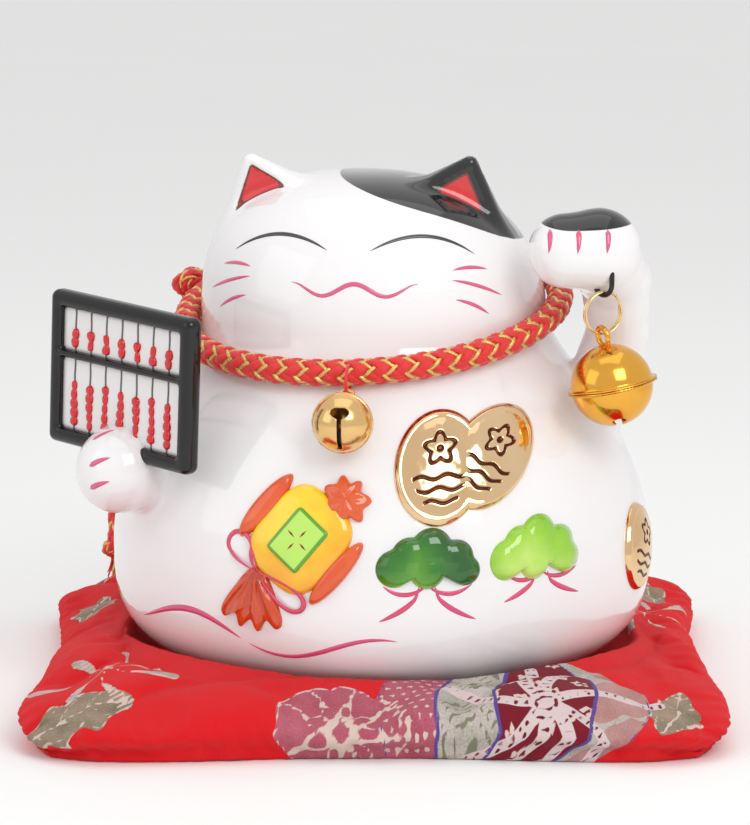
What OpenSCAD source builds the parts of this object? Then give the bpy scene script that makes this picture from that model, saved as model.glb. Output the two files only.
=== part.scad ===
// Round-bellied ceramic lucky cat on a printed cushion.
// Units are millimetres. The origin is on the table under the middle of the cushion.
// The cat faces -Y and +Z is up.

/* [Preview] */
// one sub-part's name, or "all"

/* [Figurine] */
// overall height of the body above its foot
body_height = 142; // [138:145]
// widest half width of the belly
belly_half_width = 78; // [76:80]
// height of the foot above the table, resting in the cushion
foot_height = 8; // [7:10]
// wall of the slip-cast shell
wall = 4; // [3:5]
// radius of the pouring hole in the foot
pour_hole_r = 7; // [5:9]

/* [Collar] */
// diameter of the braided cord
cord_d = 8; // [6:9]
// height of the collar at the middle of the neck
collar_height = 111; // [109:113]
// how far the front of the collar hangs below its middle
collar_dip = 11; // [9:12]
// length of each loose cord end behind the shoulder
tail_length = 84; // [60:86]

/* [Bells] */
// outside diameter of the bell on the collar
collar_bell_d = 16.8; // [16:17.5]
// outside diameter of the bell on the paw
paw_bell_d = 23; // [22:24]
// metal thickness of both bells
bell_wall = 0.7; // [0.6:0.9]

/* [Abacus] */
// width of the frame
abacus_width = 58; // [56:60]
// height of the frame
abacus_height = 44; // [43:46]
// bead rods side by side
abacus_rods_count = 7; // [5:8]

/* [Relief] */
// height of the raised motifs above the belly
relief_height = 2.6; // [2:3]

/* [Cushion] */
// width from side seam to side seam
cushion_width = 196; // [190:200]
// depth from front seam to back seam
cushion_depth = 194; // [186:196]
// turn of the cushion under the cat
cushion_yaw = 7; // [0:10]
// height of the stuffed cushion around the cat
cushion_loft = 25; // [24:27]
// thickness of the printed cotton cover
cover_thickness = 0.9; // [0.8:1]

/* [Hidden] */

white_glaze = [0.94, 0.94, 0.95];
black_glaze = [0.06, 0.05, 0.06];
red_glaze = [0.75, 0.06, 0.08];
gold = [0.83, 0.62, 0.22];
cloth_red = [0.78, 0.04, 0.09];

// ---- body form -------------------------------------------------------------

// The form is a round belly with a round head melted into it.
belly_middle = 42;
belly_drop = 38;
belly_rise = 68;
belly_squareness = 3;
head_half_width = 50;
head_half_height = 44;
head_middle = foot_height + body_height - head_half_height;
head_squareness = 2.5;
melt = 5;
foot_depth_share = 0.96;
crown_depth_share = 0.9;
foot_shift = 2;
crown_shift = -4;

// Half width of a lobe at a share of its height.
function lobe(widest, share, squareness) =
  widest * pow(max(0, 1 - pow(share, squareness)), 1 / squareness);

function form_half_width(z) =
  let(
    belly = z < belly_middle
      ? lobe(belly_half_width, (belly_middle - z) / belly_drop, belly_squareness)
      : lobe(belly_half_width, (z - belly_middle) / belly_rise, 2),
    head = lobe(head_half_width, abs(z - head_middle) / head_half_height, head_squareness)
  )
  pow(pow(belly, melt) + pow(head, melt), 1 / melt);

// Sections from the foot up, closer together at both ends: share of the height,
// share of the half width, depth over width, shift to the right in mm.
last_section = 14;
body_sections = [
  for (k = [0 : last_section])
    let(up = (1 - cos(180 * k / last_section)) / 2)
    [
      up,
      form_half_width(foot_height + body_height * up) / belly_half_width,
      foot_depth_share + (crown_depth_share - foot_depth_share) * up,
      foot_shift + (crown_shift - foot_shift) * pow(up, 3)
    ]
];
rings_per_section = 2;
body_sides = 48;

function blend4(a, b, c, d, s) =
  0.5 * (2 * b + (c - a) * s + (2 * a - 5 * b + 4 * c - d) * s * s
    + (3 * b - a - 3 * c + d) * s * s * s);

function section(i) =
  i < 0 ? 2 * body_sections[0] - body_sections[1]
  : i > last_section ? [
      body_sections[last_section - 1][0],
      -body_sections[last_section - 1][1],
      body_sections[last_section][2],
      body_sections[last_section][3]
    ]
  : body_sections[i];

function body_station(t) =
  let(i = min(floor(t), last_section - 1), s = t - i)
  blend4(section(i - 1), section(i), section(i + 1), section(i + 2), s);

// Half width and height of the outline at station t, moved outwards by grow.
function outline(t) =
  let(q = body_station(t))
  [belly_half_width * q[1], foot_height + body_height * q[0]];

function outline_normal(t) =
  t <= 0 ? [0, -1]
  : t >= last_section ? [0, 1]
  : let(d = outline(t + 0.05) - outline(t - 0.05)) [d[1], -d[0]] / norm(d);

function grown(t, grow) = outline(t) + grow * outline_normal(t);

stations = [for (k = [0 : last_section * rings_per_section]) k / rings_per_section];

width_by_height = [for (t = stations) [outline(t)[1], outline(t)[0]]];
depth_by_height = [for (t = stations) [outline(t)[1], outline(t)[0] * body_station(t)[2]]];
shift_by_height = [for (t = stations) [outline(t)[1], body_station(t)[3]]];

function half_width(z) = lookup(z, width_by_height);
function half_depth(z) = lookup(z, depth_by_height);
function shift(z) = lookup(z, shift_by_height);

// A point clear of the body's surface by gap, at a height and a turn about the body.
function around(turn, z, gap) = [
  shift(z) + (half_width(z) + gap) * cos(turn),
  (half_depth(z) + gap) * sin(turn),
  z
];

module tube_through(rings) {
  rows = len(rings);
  sides = len(rings[0]);
  points = [for (ring = rings) each ring];
  skin = [
    for (j = [0 : rows - 2], i = [0 : sides - 1])
      let(
        a = j * sides + i,
        b = j * sides + (i + 1) % sides
      )
      each [[a, a + sides, b + sides], [a, b + sides, b]]
  ];
  bottom = [for (i = [0 : sides - 1]) i];
  top = [for (i = [sides - 1 : -1 : 0]) (rows - 1) * sides + i];
  polyhedron(points, concat(skin, [bottom, top]), convexity = 6);
}

module body_form(grow, sides = body_sides, step = 1 / rings_per_section) {
  tube_through([
    for (t = [0 : step : last_section])
      let(
        q = body_station(t),
        edge = grown(t, grow),
        w = max(edge[0], 0.5)
      )
      [
        for (i = [0 : sides - 1])
          let(turn = 360 * i / sides)
          [q[3] + w * cos(turn), w * q[2] * sin(turn), edge[1]]
      ]
  ]);
}

// ---- ears ------------------------------------------------------------------

ear_root_depth = 11;
ear_tip_r = 2.6;

module ear(root_inner, root_outer, tip) {
  hull() {
    translate(root_inner) sphere(r = 4, $fn = 16);
    translate(root_outer) sphere(r = 4, $fn = 16);
    translate((root_inner + root_outer) / 2 + [0, ear_root_depth, 0]) sphere(r = 4, $fn = 16);
    translate(tip) sphere(r = ear_tip_r, $fn = 16);
  }
}

module ears() {
  ear([-20, -8, 143.5], [-40, -6, 131], [-34, -12, 153.2]);
  ear([15, -8, 144], [36.5, -6, 131.5], [28, -12, 153.2]);
}

module body_shell() {
  color(white_glaze)
    resize([0, 0, 0])
      difference() {
        union() {
          body_form(0);
          ears();
        }
        body_form(-wall, sides = 32, step = 1);
        translate([shift(foot_height), 0, 0])
          cylinder(r = pour_hole_r, h = foot_height + 3 * wall, $fn = 32);
      }
}

// ---- arms ------------------------------------------------------------------

module limb(knots) {
  for (k = [0 : len(knots) - 2])
    hull() {
      translate([knots[k][0], knots[k][1], knots[k][2]]) sphere(r = knots[k][3], $fn = 20);
      translate([knots[k + 1][0], knots[k + 1][1], knots[k + 1][2]])
        sphere(r = knots[k + 1][3], $fn = 20);
    }
}

// Centre and radius of each swelling, from the shoulder to the paw.
raised_arm_knots = [
  [55, -4, 76, 14],
  [66.5, -5, 90, 10.5],
  [70.5, -7, 106, 8.8],
  [70, -13, 122, 10],
  [66, -26, 131.5, 11.5],
  [57, -29, 131.5, 10.5]
];

module raised_arm() {
  color(white_glaze)
    resize([0, 0, 0])
      difference() {
        limb(raised_arm_knots);
        body_form(0);
      }
}

abacus_arm_knots = [
  [-54, -12, 78, 15],
  [-62, -30, 72, 13],
  [-66.5, -46.5, 70, 12.3]
];

module abacus_arm() {
  color(white_glaze)
    resize([0, 0, 0])
      difference() {
        limb(abacus_arm_knots);
        body_form(0);
        in_abacus_place() frame_blank();
      }
}

// ---- abacus ----------------------------------------------------------------

abacus_centre = [-65, -46, 95.3];
abacus_yaw = -37;
abacus_roll = 3;
frame_bar = 4.6;
frame_depth = 6;
frame_corner_r = 2.4;
divider_share = 0.62;
panel_depth = 3.4;
panel_set_back = 0.6;
rod_r = 0.6;
bead_r = 1.7;
bead_half_height = 1.45;
beads_below = 4;

inner_width = abacus_width - 2 * frame_bar;
inner_height = abacus_height - 2 * frame_bar;
divider_z = -inner_height / 2 + inner_height * divider_share;
rod_y = -frame_depth / 2 + 1.95;
rod_pitch = inner_width / (abacus_rods_count + 0.6);

module in_abacus_place() {
  translate(abacus_centre)
    rotate([0, abacus_roll, abacus_yaw])
      children();
}

// Solid block of the frame, used to seat the paw against it.
module frame_blank() {
  cube([abacus_width, frame_depth, abacus_height], center = true);
}

module frame_outline() {
  hull()
    for (sx = [-1, 1], sz = [-1, 1])
      translate([
        sx * (abacus_width / 2 - frame_corner_r),
        sz * (abacus_height / 2 - frame_corner_r)
      ])
        circle(r = frame_corner_r, $fn = 24);
}

module abacus_frame() {
  upper_height = inner_height / 2 - divider_z - frame_bar / 4;
  lower_height = divider_z - frame_bar / 4 + inner_height / 2;
  color(black_glaze)
    in_abacus_place()
      difference() {
        rotate([90, 0, 0])
          linear_extrude(height = frame_depth, center = true)
            frame_outline();
        translate([0, 0, inner_height / 2 - upper_height / 2])
          cube([inner_width, 2 * frame_depth, upper_height], center = true);
        translate([0, 0, -inner_height / 2 + lower_height / 2])
          cube([inner_width, 2 * frame_depth, lower_height], center = true);
      }
}

// The white panel behind the rods, in two parts split by the divider.
module panel_blocks() {
  upper_height = inner_height / 2 - divider_z - frame_bar / 4;
  lower_height = divider_z - frame_bar / 4 + inner_height / 2;
  panel_y = frame_depth / 2 - panel_set_back - panel_depth / 2;
  translate([0, panel_y, inner_height / 2 - upper_height / 2])
    cube([inner_width, panel_depth, upper_height], center = true);
  translate([0, panel_y, -inner_height / 2 + lower_height / 2])
    cube([inner_width, panel_depth, lower_height], center = true);
}

module abacus_panel() {
  color(white_glaze)
    in_abacus_place()
      panel_blocks();
}

function rod_x(i) = (i - (abacus_rods_count - 1) / 2) * rod_pitch;

// Rods and beads stand half proud of the panel.
module abacus_rods() {
  upper_height = inner_height / 2 - divider_z - frame_bar / 4;
  lower_height = divider_z - frame_bar / 4 + inner_height / 2;
  color([0.55, 0.55, 0.58])
    in_abacus_place()
      difference() {
        for (i = [0 : abacus_rods_count - 1]) {
          translate([rod_x(i), rod_y, inner_height / 2 - upper_height])
            cylinder(r = rod_r, h = upper_height);
          translate([rod_x(i), rod_y, -inner_height / 2])
            cylinder(r = rod_r, h = lower_height);
        }
        panel_blocks();
      }
}

module bead() {
  difference() {
    rotate_extrude()
      polygon([
        [0, -bead_half_height],
        [bead_r * 0.55, -bead_half_height],
        [bead_r, 0],
        [bead_r * 0.55, bead_half_height],
        [0, bead_half_height]
      ]);
    cylinder(r = rod_r, h = 3 * bead_half_height, center = true);
  }
}

function bead_lift(i) = 1.5 + (i % 3) * 1.6;

module abacus_beads() {
  color(red_glaze)
    in_abacus_place()
      difference() {
        for (i = [0 : abacus_rods_count - 1]) {
          translate([rod_x(i), rod_y, divider_z + frame_bar / 4 + 1.8 + (i % 2) * 0.9])
            bead();
          for (j = [0 : beads_below - 1])
            translate([rod_x(i), rod_y, -inner_height / 2 + bead_lift(i) + 1.6 + j * 3.3])
              bead();
        }
        panel_blocks();
      }
}

// ---- raised motifs on the belly ---------------------------------------------

// Places a flat outline against the body, drawn as seen from a turn about Z,
// and keeps the layer of it that stands proud of the body by up to height.
module motif(turn, height) {
  resize([0, 0, 0])
    difference() {
      intersection() {
        rotate([90, 0, turn])
          linear_extrude(height = 2 * belly_half_width)
            children();
        body_form(height);
      }
      body_form(0);
    }
}

mallet_centre = [-12, 56];
mallet_lean = -40;
barrel_length = 21;
barrel_r = 14;
band_width = 5.5;
label_size = [11, 14.5];

module in_mallet_place() {
  translate(mallet_centre)
    rotate(mallet_lean)
      children();
}

module barrel_outline() {
  intersection() {
    scale([1.25, 1]) circle(r = barrel_r, $fn = 40);
    square([barrel_length, 4 * barrel_r], center = true);
  }
}

module band_outline() {
  for (side = [-1, 1])
    translate([side * (barrel_length / 2 + band_width / 2), 0])
      scale([band_width / 2, barrel_r * 0.78])
        circle(r = 1, $fn = 28);
}

module label_outline() {
  square(label_size, center = true);
}

module knob_outline() {
  translate([2, barrel_r + 3.2])
    rotate(-8)
      for (side = [-1, 0, 1])
        translate([side * 3.6, side == 0 ? 0.8 : 0])
          circle(r = 3.4, $fn = 20);
}

tassel_neck = [-24, 47];
tassel_neck_half = 2.5;
tassel_length = 17;
tassel_notch = 3;
tassel_spread = 38;
tassel_folds = 4;
tassel_lean = -8;

// A fan of folds below a narrow neck, its hem cut into points.
module tassel_outline() {
  hem = [
    for (k = [0 : 2 * tassel_folds])
      let(
        lean = tassel_spread * (1 - k / tassel_folds),
        reach = k % 2 == 0 ? tassel_length - tassel_notch : tassel_length
      )
      [reach * sin(lean), -reach * cos(lean)]
  ];
  translate(tassel_neck)
    rotate(tassel_lean)
      polygon(concat([[-tassel_neck_half, 0], [tassel_neck_half, 0]], hem));
}

module mallet_barrel() {
  color([0.96, 0.75, 0.1])
    motif(0, relief_height)
      difference() {
        in_mallet_place() barrel_outline();
        in_mallet_place() band_outline();
        in_mallet_place() label_outline();
        in_mallet_place() knob_outline();
        tassel_outline();
      }
}

module mallet_bands() {
  color([0.88, 0.28, 0.12])
    motif(0, relief_height)
      difference() {
        in_mallet_place() band_outline();
        in_mallet_place() knob_outline();
        tassel_outline();
      }
}

module mallet_label() {
  color([0.55, 0.8, 0.2])
    motif(0, relief_height + 0.3)
      in_mallet_place() label_outline();
}

module mallet_knob() {
  color([0.9, 0.35, 0.15])
    motif(0, relief_height)
      in_mallet_place() knob_outline();
}

module mallet_tassel() {
  color([0.85, 0.22, 0.1])
    motif(0, relief_height)
      tassel_outline();
}

koban_size = [12, 15];

module koban_front_outline() {
  translate([25, 75]) rotate(4) scale(koban_size) circle(r = 1, $fn = 40);
}

module koban_back_outline() {
  translate([38, 77]) rotate(-27) scale([10.5, 13.6]) circle(r = 1, $fn = 40);
}

module koban_front() {
  color(gold)
    motif(0, relief_height)
      koban_front_outline();
}

module koban_back() {
  color(gold)
    motif(0, relief_height)
      difference() {
        koban_back_outline();
        koban_front_outline();
      }
}

koban_side_turn = 77;

module koban_side() {
  color(gold)
    motif(koban_side_turn, relief_height)
      translate([1, 45.5]) rotate(-20) scale([10.5, 12.5]) circle(r = 1, $fn = 40);
}

module pine_outline(centre, width, height) {
  translate(centre)
    scale([width / 30, height / 16]) {
      hull() {
        translate([-10, -3.5]) circle(r = 4.5, $fn = 20);
        translate([10, -3.5]) circle(r = 4.5, $fn = 20);
      }
      translate([-6, 1]) circle(r = 5, $fn = 20);
      translate([1, 4]) circle(r = 5.5, $fn = 20);
      translate([8, 1]) circle(r = 4.5, $fn = 20);
    }
}

module pine_dark() {
  color([0.12, 0.45, 0.12])
    motif(0, relief_height)
      pine_outline([23, 51], 28, 15);
}

module pine_light() {
  color([0.5, 0.8, 0.15])
    motif(0, relief_height)
      pine_outline([51, 52], 23, 15.5);
}

// ---- collar ----------------------------------------------------------------

cord_r = cord_d / 2;
collar_roll = 3;
cord_gap = 0.25;
collar_stations = 72;
cord_sides = 12;

function collar_z(turn) = collar_height + collar_dip * sin(turn) + collar_roll * cos(turn);
function collar_point(turn) = around(turn, collar_z(turn), cord_r + cord_gap);

module sweep_closed(path, r, sides) {
  n = len(path);
  points = [
    for (k = [0 : n - 1])
      let(
        along = path[(k + 1) % n] - path[(k + n - 1) % n],
        t = along / norm(along),
        side = cross(t, [0, 0, 1]),
        s = side / norm(side),
        u = cross(s, t)
      )
      for (i = [0 : sides - 1])
        path[k] + r * (cos(360 * i / sides) * s + sin(360 * i / sides) * u)
  ];
  faces = [
    for (k = [0 : n - 1], i = [0 : sides - 1])
      let(
        a = k * sides + i,
        b = k * sides + (i + 1) % sides,
        c = ((k + 1) % n) * sides + i,
        d = ((k + 1) % n) * sides + (i + 1) % sides
      )
      each [[a, c, d], [a, d, b]]
  ];
  polyhedron(points, faces, convexity = 8);
}

module collar_cord() {
  color([0.8, 0.08, 0.1])
    resize([0, 0, 0])
      difference() {
        sweep_closed([for (k = [0 : collar_stations - 1]) collar_point(360 * k / collar_stations)],
          cord_r, cord_sides);
        limb(raised_arm_knots);
        body_form(0.05);
      }
}

knot_turn = 156;
knot_half_width = 7.5;
knot_half_height = 6;
knot_depth = 4.6;
knot_centre = around(knot_turn, collar_z(knot_turn), 2 * cord_r + knot_depth + cord_gap);

module collar_knot() {
  color([0.8, 0.08, 0.1])
    translate(knot_centre)
      rotate([0, 0, knot_turn - 90])
        scale([knot_half_width, knot_depth, knot_half_height])
          sphere(r = 1, $fn = 96);
}

tail_spread = 6;
tail_clear = 0.6;
tail_drift = 0.05;
end_knot_r = cord_r + 1.4;

// Each loose end hangs from the knot, follows the body to its widest and then falls straight.
function tail_point(side, s) =
  let(
    z = knot_centre[2] - knot_half_height - s,
    turn = knot_turn + side * tail_spread + side * tail_drift * s,
    free = around(turn, max(z, belly_middle), end_knot_r + tail_clear)
  )
  [free[0], free[1], z];

module tail(side) {
  steps = 6;
  drop = tail_length - 2 * end_knot_r;
  color([0.8, 0.08, 0.1])
    resize([0, 0, 0])
      union() {
        for (k = [0 : steps - 1])
          hull() {
            translate(tail_point(side, 2 + drop * k / steps)) sphere(r = cord_r, $fn = 16);
            translate(tail_point(side, 2 + drop * (k + 1) / steps)) sphere(r = cord_r, $fn = 16);
          }
        translate(tail_point(side, 2 + drop)) sphere(r = end_knot_r, $fn = 20);
      }
}

module tail_left() {
  tail(1);
}

module tail_right() {
  tail(-1);
}

// ---- bell on the collar ------------------------------------------------------

collar_bell_r = collar_bell_d / 2;
collar_bell_centre = [-0.5, -68.4, 88.6];
collar_lip = 0.35;
thread_r = 0.45;
slot_width = 1.1;
keyhole_half_width = 2.5;
keyhole_half_height = 1.35;
keyhole_rise = 0.44;
bell_eyelet_r = 2;
bell_eyelet_wire = 0.45;
clapper_r = 2.4;
collar_front = collar_point(270);

// The bell hangs from the front of the cord, leaning back against the belly.
hang = collar_front - collar_bell_centre;
hang_tilt = atan2(hang[1], hang[2]);
eyelet_reach = collar_bell_r - collar_lip + bell_eyelet_r;

module in_collar_bell_place() {
  translate(collar_bell_centre)
    children();
}

// Hollow half ball, opening towards -Y when front is true.
module half_bell(r, front) {
  rotate([front ? 90 : -90, 0, 0])
    difference() {
      sphere(r = r, $fn = 96);
      sphere(r = r - bell_wall, $fn = 96);
      translate([0, 0, -r])
        cube([3 * r, 3 * r, 2 * r], center = true);
    }
}

module seam_ring(r, lip, thick) {
  difference() {
    cylinder(r = r + lip, h = thick);
    translate([0, 0, -thick])
      cylinder(r = r - bell_wall, h = 3 * thick);
  }
}

module collar_bell_front() {
  color(gold)
    in_collar_bell_place()
      difference() {
        union() {
          half_bell(collar_bell_r - collar_lip, true);
          rotate([90, 0, 0]) seam_ring(collar_bell_r - collar_lip, collar_lip, 0.9);
        }
        translate([0, -collar_bell_r, -collar_bell_r / 2 + 1.5])
          cube([slot_width, 2 * collar_bell_r - 4, collar_bell_r + 3], center = true);
        translate([0, 0, collar_bell_r * keyhole_rise])
          rotate([90, 0, 0])
            scale([keyhole_half_width, keyhole_half_height])
              cylinder(r = 1, h = 2 * collar_bell_r, $fn = 64);
      }
}

module collar_bell_back() {
  color(gold)
    in_collar_bell_place()
      union() {
        half_bell(collar_bell_r - collar_lip, false);
        rotate([-90, 0, 0]) seam_ring(collar_bell_r - collar_lip, collar_lip, 0.9);
      }
}

module collar_bell_eyelet() {
  color(gold)
    in_collar_bell_place()
      rotate([-hang_tilt, 0, 0])
        translate([0, 0, eyelet_reach])
          rotate([90, 0, 0])
            rotate_extrude($fn = 72)
              translate([bell_eyelet_r, 0])
                circle(r = bell_eyelet_wire, $fn = 48);
}

module collar_clapper() {
  color([0.6, 0.6, 0.62])
    in_collar_bell_place()
      translate([0, 0, -collar_bell_r + bell_wall + clapper_r + 1])
        sphere(r = clapper_r, $fn = 64);
}

// Thread sewn through the cord and looped through the middle of the bell's eyelet.
thread_reach = norm(hang) - eyelet_reach;
thread_loop_r = (thread_reach + 1) / 2;

module bell_thread() {
  color([0.5, 0.03, 0.05])
    translate(collar_bell_centre)
      rotate([-hang_tilt, 0, 0])
        translate([0, 0, eyelet_reach + thread_loop_r])
          rotate([0, 90, 0])
            rotate_extrude($fn = 72)
              translate([thread_loop_r, 0])
                circle(r = thread_r, $fn = 48);
}

// ---- bell on the paw -----------------------------------------------------------

paw_bell_r = paw_bell_d / 2;
paw_bell_centre = [70.5, -33, 94.6];
flange_lip = 1.1;
flange_thick = 1;
flange_tilt = -11;
ring_wire = 0.7;
ring_r = 5.9;
ring_turn = 35;
chain_clear = 0.3;
hook_wire = 0.8;
hook_r = 3.2;
hook_turn = -40;
hook_leg = 7;
paw_eyelet_r = 2.6;
paw_eyelet_wire = 0.75;
paw_clapper_r = 3.4;
paw_slot_turn = 97;
paw_slot_width = 1.8;
paw_hole_reach = 0.51;
paw_hole_drop = 0.86;
paw_hole_r = 1.9;

module in_paw_bell_place() {
  translate(paw_bell_centre)
    rotate([0, flange_tilt, 0])
      children();
}

module half_ball(r, top) {
  difference() {
    sphere(r = r, $fn = 96);
    sphere(r = r - bell_wall, $fn = 96);
    translate([0, 0, top ? -r : r])
      cube([3 * r, 3 * r, 2 * r], center = true);
  }
}

module paw_bell_top() {
  color(gold)
    in_paw_bell_place()
      union() {
        half_ball(paw_bell_r, true);
        seam_ring(paw_bell_r, flange_lip, flange_thick);
      }
}

module paw_bell_bottom() {
  color(gold)
    in_paw_bell_place()
      difference() {
        union() {
          half_ball(paw_bell_r, false);
          rotate([180, 0, 0]) seam_ring(paw_bell_r, flange_lip, flange_thick);
        }
        rotate(paw_slot_turn) {
          translate([0, 0, -paw_bell_r])
            cube([2 * paw_bell_r * paw_hole_reach, paw_slot_width, paw_bell_r], center = true);
          for (side = [-1, 1])
            translate([side * paw_bell_r * paw_hole_reach, 0, -paw_bell_r * paw_hole_drop])
              sphere(r = paw_hole_r, $fn = 48);
        }
      }
}

module paw_bell_eyelet() {
  color(gold)
    in_paw_bell_place()
      translate([0, 0, paw_bell_r + paw_eyelet_r - 0.3])
        rotate([90, 0, ring_turn + 90])
          rotate_extrude($fn = 72)
            translate([paw_eyelet_r, 0])
              circle(r = paw_eyelet_wire, $fn = 48);
}

module paw_clapper() {
  color([0.6, 0.6, 0.62])
    in_paw_bell_place()
      translate([0, 0, -paw_bell_r + bell_wall + paw_clapper_r + 1])
        sphere(r = paw_clapper_r, $fn = 64);
}

eyelet_centre = paw_bell_centre
  + (paw_bell_r + paw_eyelet_r - 0.3) * [sin(flange_tilt), 0, cos(flange_tilt)];
ring_low_z = eyelet_centre[2] + paw_eyelet_r - paw_eyelet_wire - ring_wire - chain_clear;
ring_centre = [eyelet_centre[0], eyelet_centre[1], ring_low_z + ring_r];

module split_ring() {
  color(gold)
    translate(ring_centre)
      rotate([90, 0, ring_turn])
        rotate_extrude($fn = 96)
          translate([ring_r, 0])
            circle(r = ring_wire, $fn = 48);
}

hook_low_z = ring_centre[2] + ring_r - ring_wire - hook_wire - chain_clear;
hook_centre = [ring_centre[0], ring_centre[1], hook_low_z + hook_r];

module paw_hook() {
  color([0.1, 0.1, 0.1])
    translate(hook_centre)
      rotate([0, 0, hook_turn]) {
        rotate([90, 0, 0])
          rotate_extrude(angle = -180, $fn = 72)
            translate([hook_r, 0])
              circle(r = hook_wire, $fn = 48);
        for (side = [-1, 1])
          translate([side * hook_r, 0, 0])
            cylinder(r = hook_wire, h = hook_leg, $fn = 48);
      }
}

// ---- cushion -----------------------------------------------------------------

seam_height = 4;
top_swell = cushion_loft - seam_height;
cushion_turns = 60;
corner_pull = 0.08;
corner_power = 7;
seat_clear = 1;
bottom_flat_share = 0.9;

// Distance from the middle to the seam at a turn about Z.
function seam_reach(turn) =
  let(
    c = abs(cos(turn)) / (cushion_width / 2),
    s = abs(sin(turn)) / (cushion_depth / 2),
    box = pow(pow(c, corner_power) + pow(s, corner_power), -1 / corner_power),
    corner = pow(abs(sin(2 * turn)), 3)
  )
  box * (1 + corner_pull * corner);

// Rise of the stuffed top above the seam, at a share of the way out. The corners hold less filling.
corner_droop = 0.3;
function swell(share, turn) =
  pow(max(0, 1 - pow(share, 4)), 0.5) * (1 - corner_droop * pow(abs(sin(2 * turn)), 3));

// Height of the underside of the body over a point of the cushion.
seat_top_section = 4;
foot_levels = [for (t = [0 : 0.5 : seat_top_section]) [outline(t)[0], outline(t)[1]]];
seat_edge = foot_levels[len(foot_levels) - 1][0] + 3;

function seat_height(x, y) =
  let(
    turned_x = x * cos(cushion_yaw) - y * sin(cushion_yaw) - shift(foot_height),
    turned_y = x * sin(cushion_yaw) + y * cos(cushion_yaw),
    r = norm([turned_x, turned_y / foot_depth_share])
  )
  r > seat_edge - 3 ? belly_middle : lookup(r, foot_levels);

// Round rings fit the seat, and the rings outside it grow into the square seam.
seat_rings = [0.45, 0.6, 0.66, 0.72, 0.78, 0.83, 0.87, 0.91, 0.95, 1];
edge_rings = [1.35, 1.6, 1.8, 1.92, 1.98];
all_rings = concat(seat_rings, edge_rings);

function ring_reach(turn, ring, drop) =
  ring <= 1 ? ring * seat_edge
  : seat_edge + (ring - 1) * (seam_reach(turn) - drop - seat_edge);

function top_point(turn, ring, drop) =
  let(
    reach = ring_reach(turn, ring, drop),
    x = reach * cos(turn),
    y = reach * sin(turn),
    stuffed = seam_height + top_swell * swell(reach / (seam_reach(turn) - drop), turn)
  )
  [x, y, min(stuffed, seat_height(x, y) - seat_clear) - drop];

function bottom_point(turn, share, drop) =
  let(
    reach = seam_reach(turn) - drop,
    s = max(0, (share - bottom_flat_share) / (1 - bottom_flat_share)),
    z = seam_height * (1 - pow(max(0, 1 - pow(s, 2.2)), 0.5))
  )
  [share * reach * cos(turn), share * reach * sin(turn), z + drop];

bottom_shares = [0.9, 0.94, 0.97, 0.985, 0.995];

function ring_of(share, drop, top) = [
  for (i = [0 : cushion_turns - 1])
    let(turn = 360 * i / cushion_turns)
    top ? top_point(turn, share, drop) : bottom_point(turn, share, drop)
];

function outward(rings, drop, top) = [for (r = rings) ring_of(r, drop, top)];
function inward(rings, drop, top) =
  [for (k = [len(rings) - 1 : -1 : 0]) ring_of(rings[k], drop, top)];
function at_height(ring, z) = [for (p = ring) [p[0], p[1], z]];

module in_cushion_place() {
  rotate(cushion_yaw)
    children();
}

// Rings from the middle of the bottom, out to the seam and in over the top.
module cushion_filling() {
  t = cover_thickness + 0.15;
  color([0.95, 0.94, 0.9])
    resize([0, 0, 0])
      in_cushion_place()
        tube_through(concat(outward(bottom_shares, t, false), inward(all_rings, t, true)));
}

// Inner face from the middle out to the rim, then the outer face back in.
module cushion_cover_top() {
  rim_z = seam_height + 0.05;
  color(cloth_red)
    resize([0, 0, 0])
      in_cushion_place()
        tube_through(concat(
          outward(all_rings, cover_thickness, true),
          [at_height(ring_of(2, cover_thickness, true), rim_z)],
          [at_height(ring_of(2, 0, true), rim_z)],
          inward(all_rings, 0, true)
        ));
}

// Outer face from the flat underside out to the rim, then the inner face back in.
module cushion_cover_bottom() {
  rim_z = seam_height - 0.05;
  color(cloth_red)
    resize([0, 0, 0])
      in_cushion_place()
        tube_through(concat(
          outward(bottom_shares, 0, false),
          [at_height(ring_of(1, 0, false), rim_z)],
          [at_height(ring_of(1, cover_thickness, false), rim_z)],
          inward(bottom_shares, cover_thickness, false)
        ));
}

// ---- assembly ------------------------------------------------------------------

cushion_filling();
cushion_cover_top();
cushion_cover_bottom();
body_shell();
raised_arm();
abacus_arm();
abacus_frame();
abacus_panel();
abacus_rods();
abacus_beads();
mallet_barrel();
mallet_bands();
mallet_label();
mallet_knob();
mallet_tassel();
koban_front();
koban_back();
koban_side();
pine_dark();
pine_light();
collar_cord();
collar_knot();
tail_left();
tail_right();
bell_thread();
paw_hook();
split_ring();
paw_bell_top();
paw_bell_bottom();
paw_bell_eyelet();
paw_clapper();
collar_bell_back();
collar_bell_front();
collar_bell_eyelet();
collar_clapper();
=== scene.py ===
"""Ceramic lucky cat on a printed cushion: the visual model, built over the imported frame.

Lengths in this script are millimetres unless a name says otherwise; MM turns them into metres.
The cat faces -Y, +Z is up and the origin is on the table under the cushion.
"""
import math

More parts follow.
